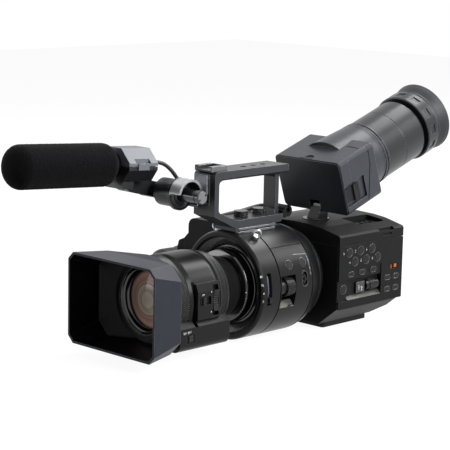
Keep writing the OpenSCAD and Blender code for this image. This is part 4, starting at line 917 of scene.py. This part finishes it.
class CAMCORDER_OT_markings(bpy.types.Operator):
    """Print the numerals, ticks and guide lines"""
    bl_idname = "camcorder.markings"
    bl_label = "Printed markings"

    def execute(self, context):
        wide = context.scene.camcorder_sizes.mark_width / MM
        grids = []
        side = on_flat(PANEL_X)
        for digit, (y, z) in zip("123456", ((105.6, 25.6), (122.7, 25.8), (138.9, 26.3),
                                            (114.6, 16), (131.3, 16.2), (148.2, 16.5))):
            grids += strokes(numeral(digit, (y - 8.2, z - 1.2), 2.4), wide, 0.06, side)
        barrel = on_barrel(BARREL_R)
        for digits, v in (("64", 15.2), ("16", 7.4), ("4", -0.4), ("0", -8.3)):
            grids += strokes(numeral(digits, (-1.8 - 2.5 * len(digits), v), 2.0), wide, 0.06, barrel)
        ring = [(44.3, 31.4), (61, 29.8), (61, 9.5)]
        grids += strokes([ring], 0.3, 0.05, barrel)
        drive = on_flat(42.0)
        words = numeral("ON", (-95.2, -24.9), 1.9) + numeral("OFF", (-90.2, -24.9), 1.9)
        grids += strokes(words, 0.4, 0.06, drive)
        pad = on_flat(40.7)
        grids += strokes(numeral("ON", (-71.5, 6.3), 1.6), 0.4, 0.06, pad)
        grids += strokes([[(-60.9, 8.6), (-59.7, 8.6)], [(-60.9, -9.4), (-59.7, -9.4)]], 1.2, 0.06, pad)
        grids += strokes(numeral("1", (122, -13.6), 5.6) + numeral("2", (126.6, -13.6), 3.2), 0.7, 0.06,
                         on_flat(PANEL_X - 1.42))
        marks = surfaces("printed_markings", grids, caps=True, smooth=20)
        white = context.scene.camcorder_colours.print_white
        dress(marks, finish("white_pad_print", white, 0.5, edge=0.0, shade=0.05))
        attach(marks, "body")
        return {"FINISHED"}


class CAMCORDER_OT_finishes(bpy.types.Operator):
    """Give every CAD piece its finish"""
    bl_idname = "camcorder.finishes"
    bl_label = "Finishes"

    def execute(self, context):
        c = context.scene.camcorder_colours
        # Keys: small black mouldings whose rims get a painted highlight
        black_key = finish("moulded_key_abs", "#0f0f10", 0.34, specular=0.25, grain=0.4,
                           depth=0.008, edge=0.25, edge_wear_and_glint_hex="#8e9094", edge_mm=0.3)
        worn_by = {
            # Moulded ABS: satin, faintly pebbled by the spark-eroded mould
            "side_housing rear_housing control_panel top_cover rear_panel cable_clamp": finish(
                "moulded_abs_casing", c.casing, 0.4, specular=0.06, grain=0.7, depth=0.02),
            # Die-cast magnesium, lacquered: a harder gloss, with corners lightened partly by polish from
            # handling and partly by painted highlight
            "front_barrel control_barrel base_plate lens_barrel microphone": finish(
                "lacquered_magnesium", c.barrel, 0.3, specular=0.13, grain=0.5, depth=0.01),
            # The same lacquer over turned metal: darker and glossier, corners lightened partly by rubbing
            # and partly by painted highlight
            "lens_mount lcd_hinge handle_screws": finish(
                "lacquered_lens_mount", "#0d0d0e", 0.24, specular=0.3, shade=0.05, edge=0.6,
                edge_wear_and_glint_hex="#b9bbbe", edge_mm=0.35),
            # Lens hood: blue-black ABS with a fine even matt; its rim is lightened by painted highlight
            "lens_hood": finish(
                "moulded_hood_abs", c.hood, 0.4, specular=0.1, grain=0.6, depth=0.012, edge=0.6,
                edge_wear_and_glint_hex="#a4a9b2", edge_mm=0.7, lining="#08080a"),
            # Monitor and its hood: blue-grey ABS, a little glossier, with corners lightened by painted
            # highlight
            "lcd_panel loupe_hood": finish(
                "moulded_loupe_abs", c.loupe, 0.34, specular=0.3, grain=0.6, depth=0.01, edge=0.5,
                edge_wear_and_glint_hex="#aab0ba", edge_mm=0.6),
            # Tube of the loupe: polished ABS, so it runs from bright to near black; the corners of its
            # joints get painted highlight
            "loupe_tube loupe_focus_ring": finish(
                "polished_tube_abs", "#1b1d21", 0.3, specular=0.45, shade=0.04, edge=0.5,
                edge_wear_and_glint_hex="#aab0ba", edge_mm=0.6),
            # Bead-blasted and lacquered aluminium: grey, silky, edges lightened partly by rubbing and
            # partly by painted highlight
            "handle_frame": finish(
                "lacquered_aluminium", c.handle, 0.34, specular=0.25, grain=0.5, depth=0.01,
                edge=0.6, edge_wear_and_glint_hex="#a6a9ae", edge_mm=0.6),
            # Bare steels: bright where satin, grey where turned, dull and mottled on the shoe
            "strap_lugs": finish("satin_stainless_steel", c.bright, 0.28, metallic=1.0, shade=0.08,
                                 edge=0.3, edge_wear_and_glint_hex="#dcdddf"),
            "mic_plug handle_rail": finish("turned_steel", "#77797c", 0.3, metallic=1.0, shade=0.1,
                                           edge=0.3, edge_wear_and_glint_hex="#d0d1d3"),
            "accessory_shoe": finish("phosphated_steel_shoe", "#6f7072", 0.36, metallic=0.9,
                                     shade=0.15, edge=0.5, edge_wear_and_glint_hex="#cfd0d2"),
            # Arm castings: black paint over aluminium, so the edges show grey, lightened further by
            # painted highlight
            "mic_arm mic_knob": finish(
                "painted_arm_casting", "#1d1e20", 0.34, specular=0.3, grain=0.6, depth=0.015,
                edge=0.5, edge_wear_and_glint_hex="#85888c"),
            # Bracket: a pale blasted shell over black-painted knuckles
            "mic_bracket": finish(
                "bead_blasted_aluminium", "#b0b2b7", 0.34, metallic=0.4, grain=0.4, depth=0.01,
                edge=0.4, edge_wear_and_glint_hex="#d0d2d5", painted="#1b1c1e"),
            "mic_clamp_lid": finish("lacquered_clamp_lid", "#6a6d73", 0.45, specular=0.25, grain=0.5,
                                    depth=0.01, edge=0.5, edge_wear_and_glint_hex="#c6c9ce"),
            "loupe_latch zoom_rocker zoom_lever zoom_mode_switch nd_lever iris_dial function_keys "
            "auto_iris_button focus_assist_button focus_switch speed_button speed_dial": black_key,
            " ".join(f"assign_button_{k}" for k in range(1, 7)): black_key,
            # Rubbers: dull and soft-edged, from fine matt to a leather grain on the grip
            "lens_zoom_ring lens_focus_ring": finish(
                "moulded_rubber", c.rubber, 0.6, specular=0.22, grain=0.9, depth=0.04, edge=0.25,
                edge_wear_and_glint_hex="#5a5b5e"),
            "eyecup": finish("eyecup_rubber", "#2a2c31", 0.5, specular=0.35, grain=0.8, depth=0.03,
                             edge=0.25, edge_wear_and_glint_hex="#6a6d73"),
            "grip": finish("leather_grain_rubber", "#1f1f21", 0.55, specular=0.25, grain=1.6,
                           depth=0.14, edge=0.1),
            "record_button": finish("red_moulded_key", "#8d2420", 0.4, grain=0.4, depth=0.01,
                                    edge=0.2, edge_wear_and_glint_hex="#c86a60"),
            "hold_switch": finish("orange_moulded_slide", "#a35a30", 0.45, grain=0.4, depth=0.01,
                                  edge=0.2, edge_wear_and_glint_hex="#d09878"),
            "sensor_unit": finish("solder_masked_board", "#23402c", 0.4, shade=0.3, patch=4.0),
            "battery": finish("moulded_battery_case", "#1d1d1f", 0.5, specular=0.25, grain=0.7,
                              depth=0.02),
            "lcd_screen": finish("monitor_cover_glass", "#0b0c10", 0.05, specular=0.6, edge=0.0,
                                 shade=0.0),
            "loupe_lens": ringed_glass("magenta_coated_glass", [(0, "#2a2030"), (60, "#241c2c")]),
        }
        for nodes, mat in worn_by.items():
            for node in nodes.split():
                dress(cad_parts[node], mat)
        return {"FINISHED"}


class CAMCORDER_PT_panel(bpy.types.Panel):
    bl_label = "Camcorder"
    bl_idname = "CAMCORDER_PT_panel"
    bl_space_type = "VIEW_3D"
    bl_region_type = "UI"
    bl_category = "Camcorder"

    def draw(self, context):
        for group in (context.scene.camcorder_sizes, context.scene.camcorder_colours):
            for name in group.__annotations__:
                self.layout.prop(group, name)
        for operator in OPERATORS:
            self.layout.operator(operator.bl_idname)


OPERATORS = (CAMCORDER_OT_stage, CAMCORDER_OT_mic_lead, CAMCORDER_OT_windscreen,
             CAMCORDER_OT_hand_strap, CAMCORDER_OT_lens_rings, CAMCORDER_OT_lens_front,
             CAMCORDER_OT_bezels, CAMCORDER_OT_mic_joint, CAMCORDER_OT_markings, CAMCORDER_OT_finishes)
CLASSES = (CamcorderSizes, CamcorderColours, *OPERATORS, CAMCORDER_PT_panel)


def register():
    for cls in CLASSES:
        bpy.utils.register_class(cls)
    bpy.types.Scene.camcorder_sizes = bpy.props.PointerProperty(type=CamcorderSizes)
    bpy.types.Scene.camcorder_colours = bpy.props.PointerProperty(type=CamcorderColours)


def unregister():
    del bpy.types.Scene.camcorder_colours
    del bpy.types.Scene.camcorder_sizes
    for cls in reversed(CLASSES):
        bpy.utils.unregister_class(cls)


def main():
    register()
    for operator in OPERATORS:
        group, name = operator.bl_idname.split(".")
        getattr(getattr(bpy.ops, group), name)()


if __name__ == "__main__":
    main()
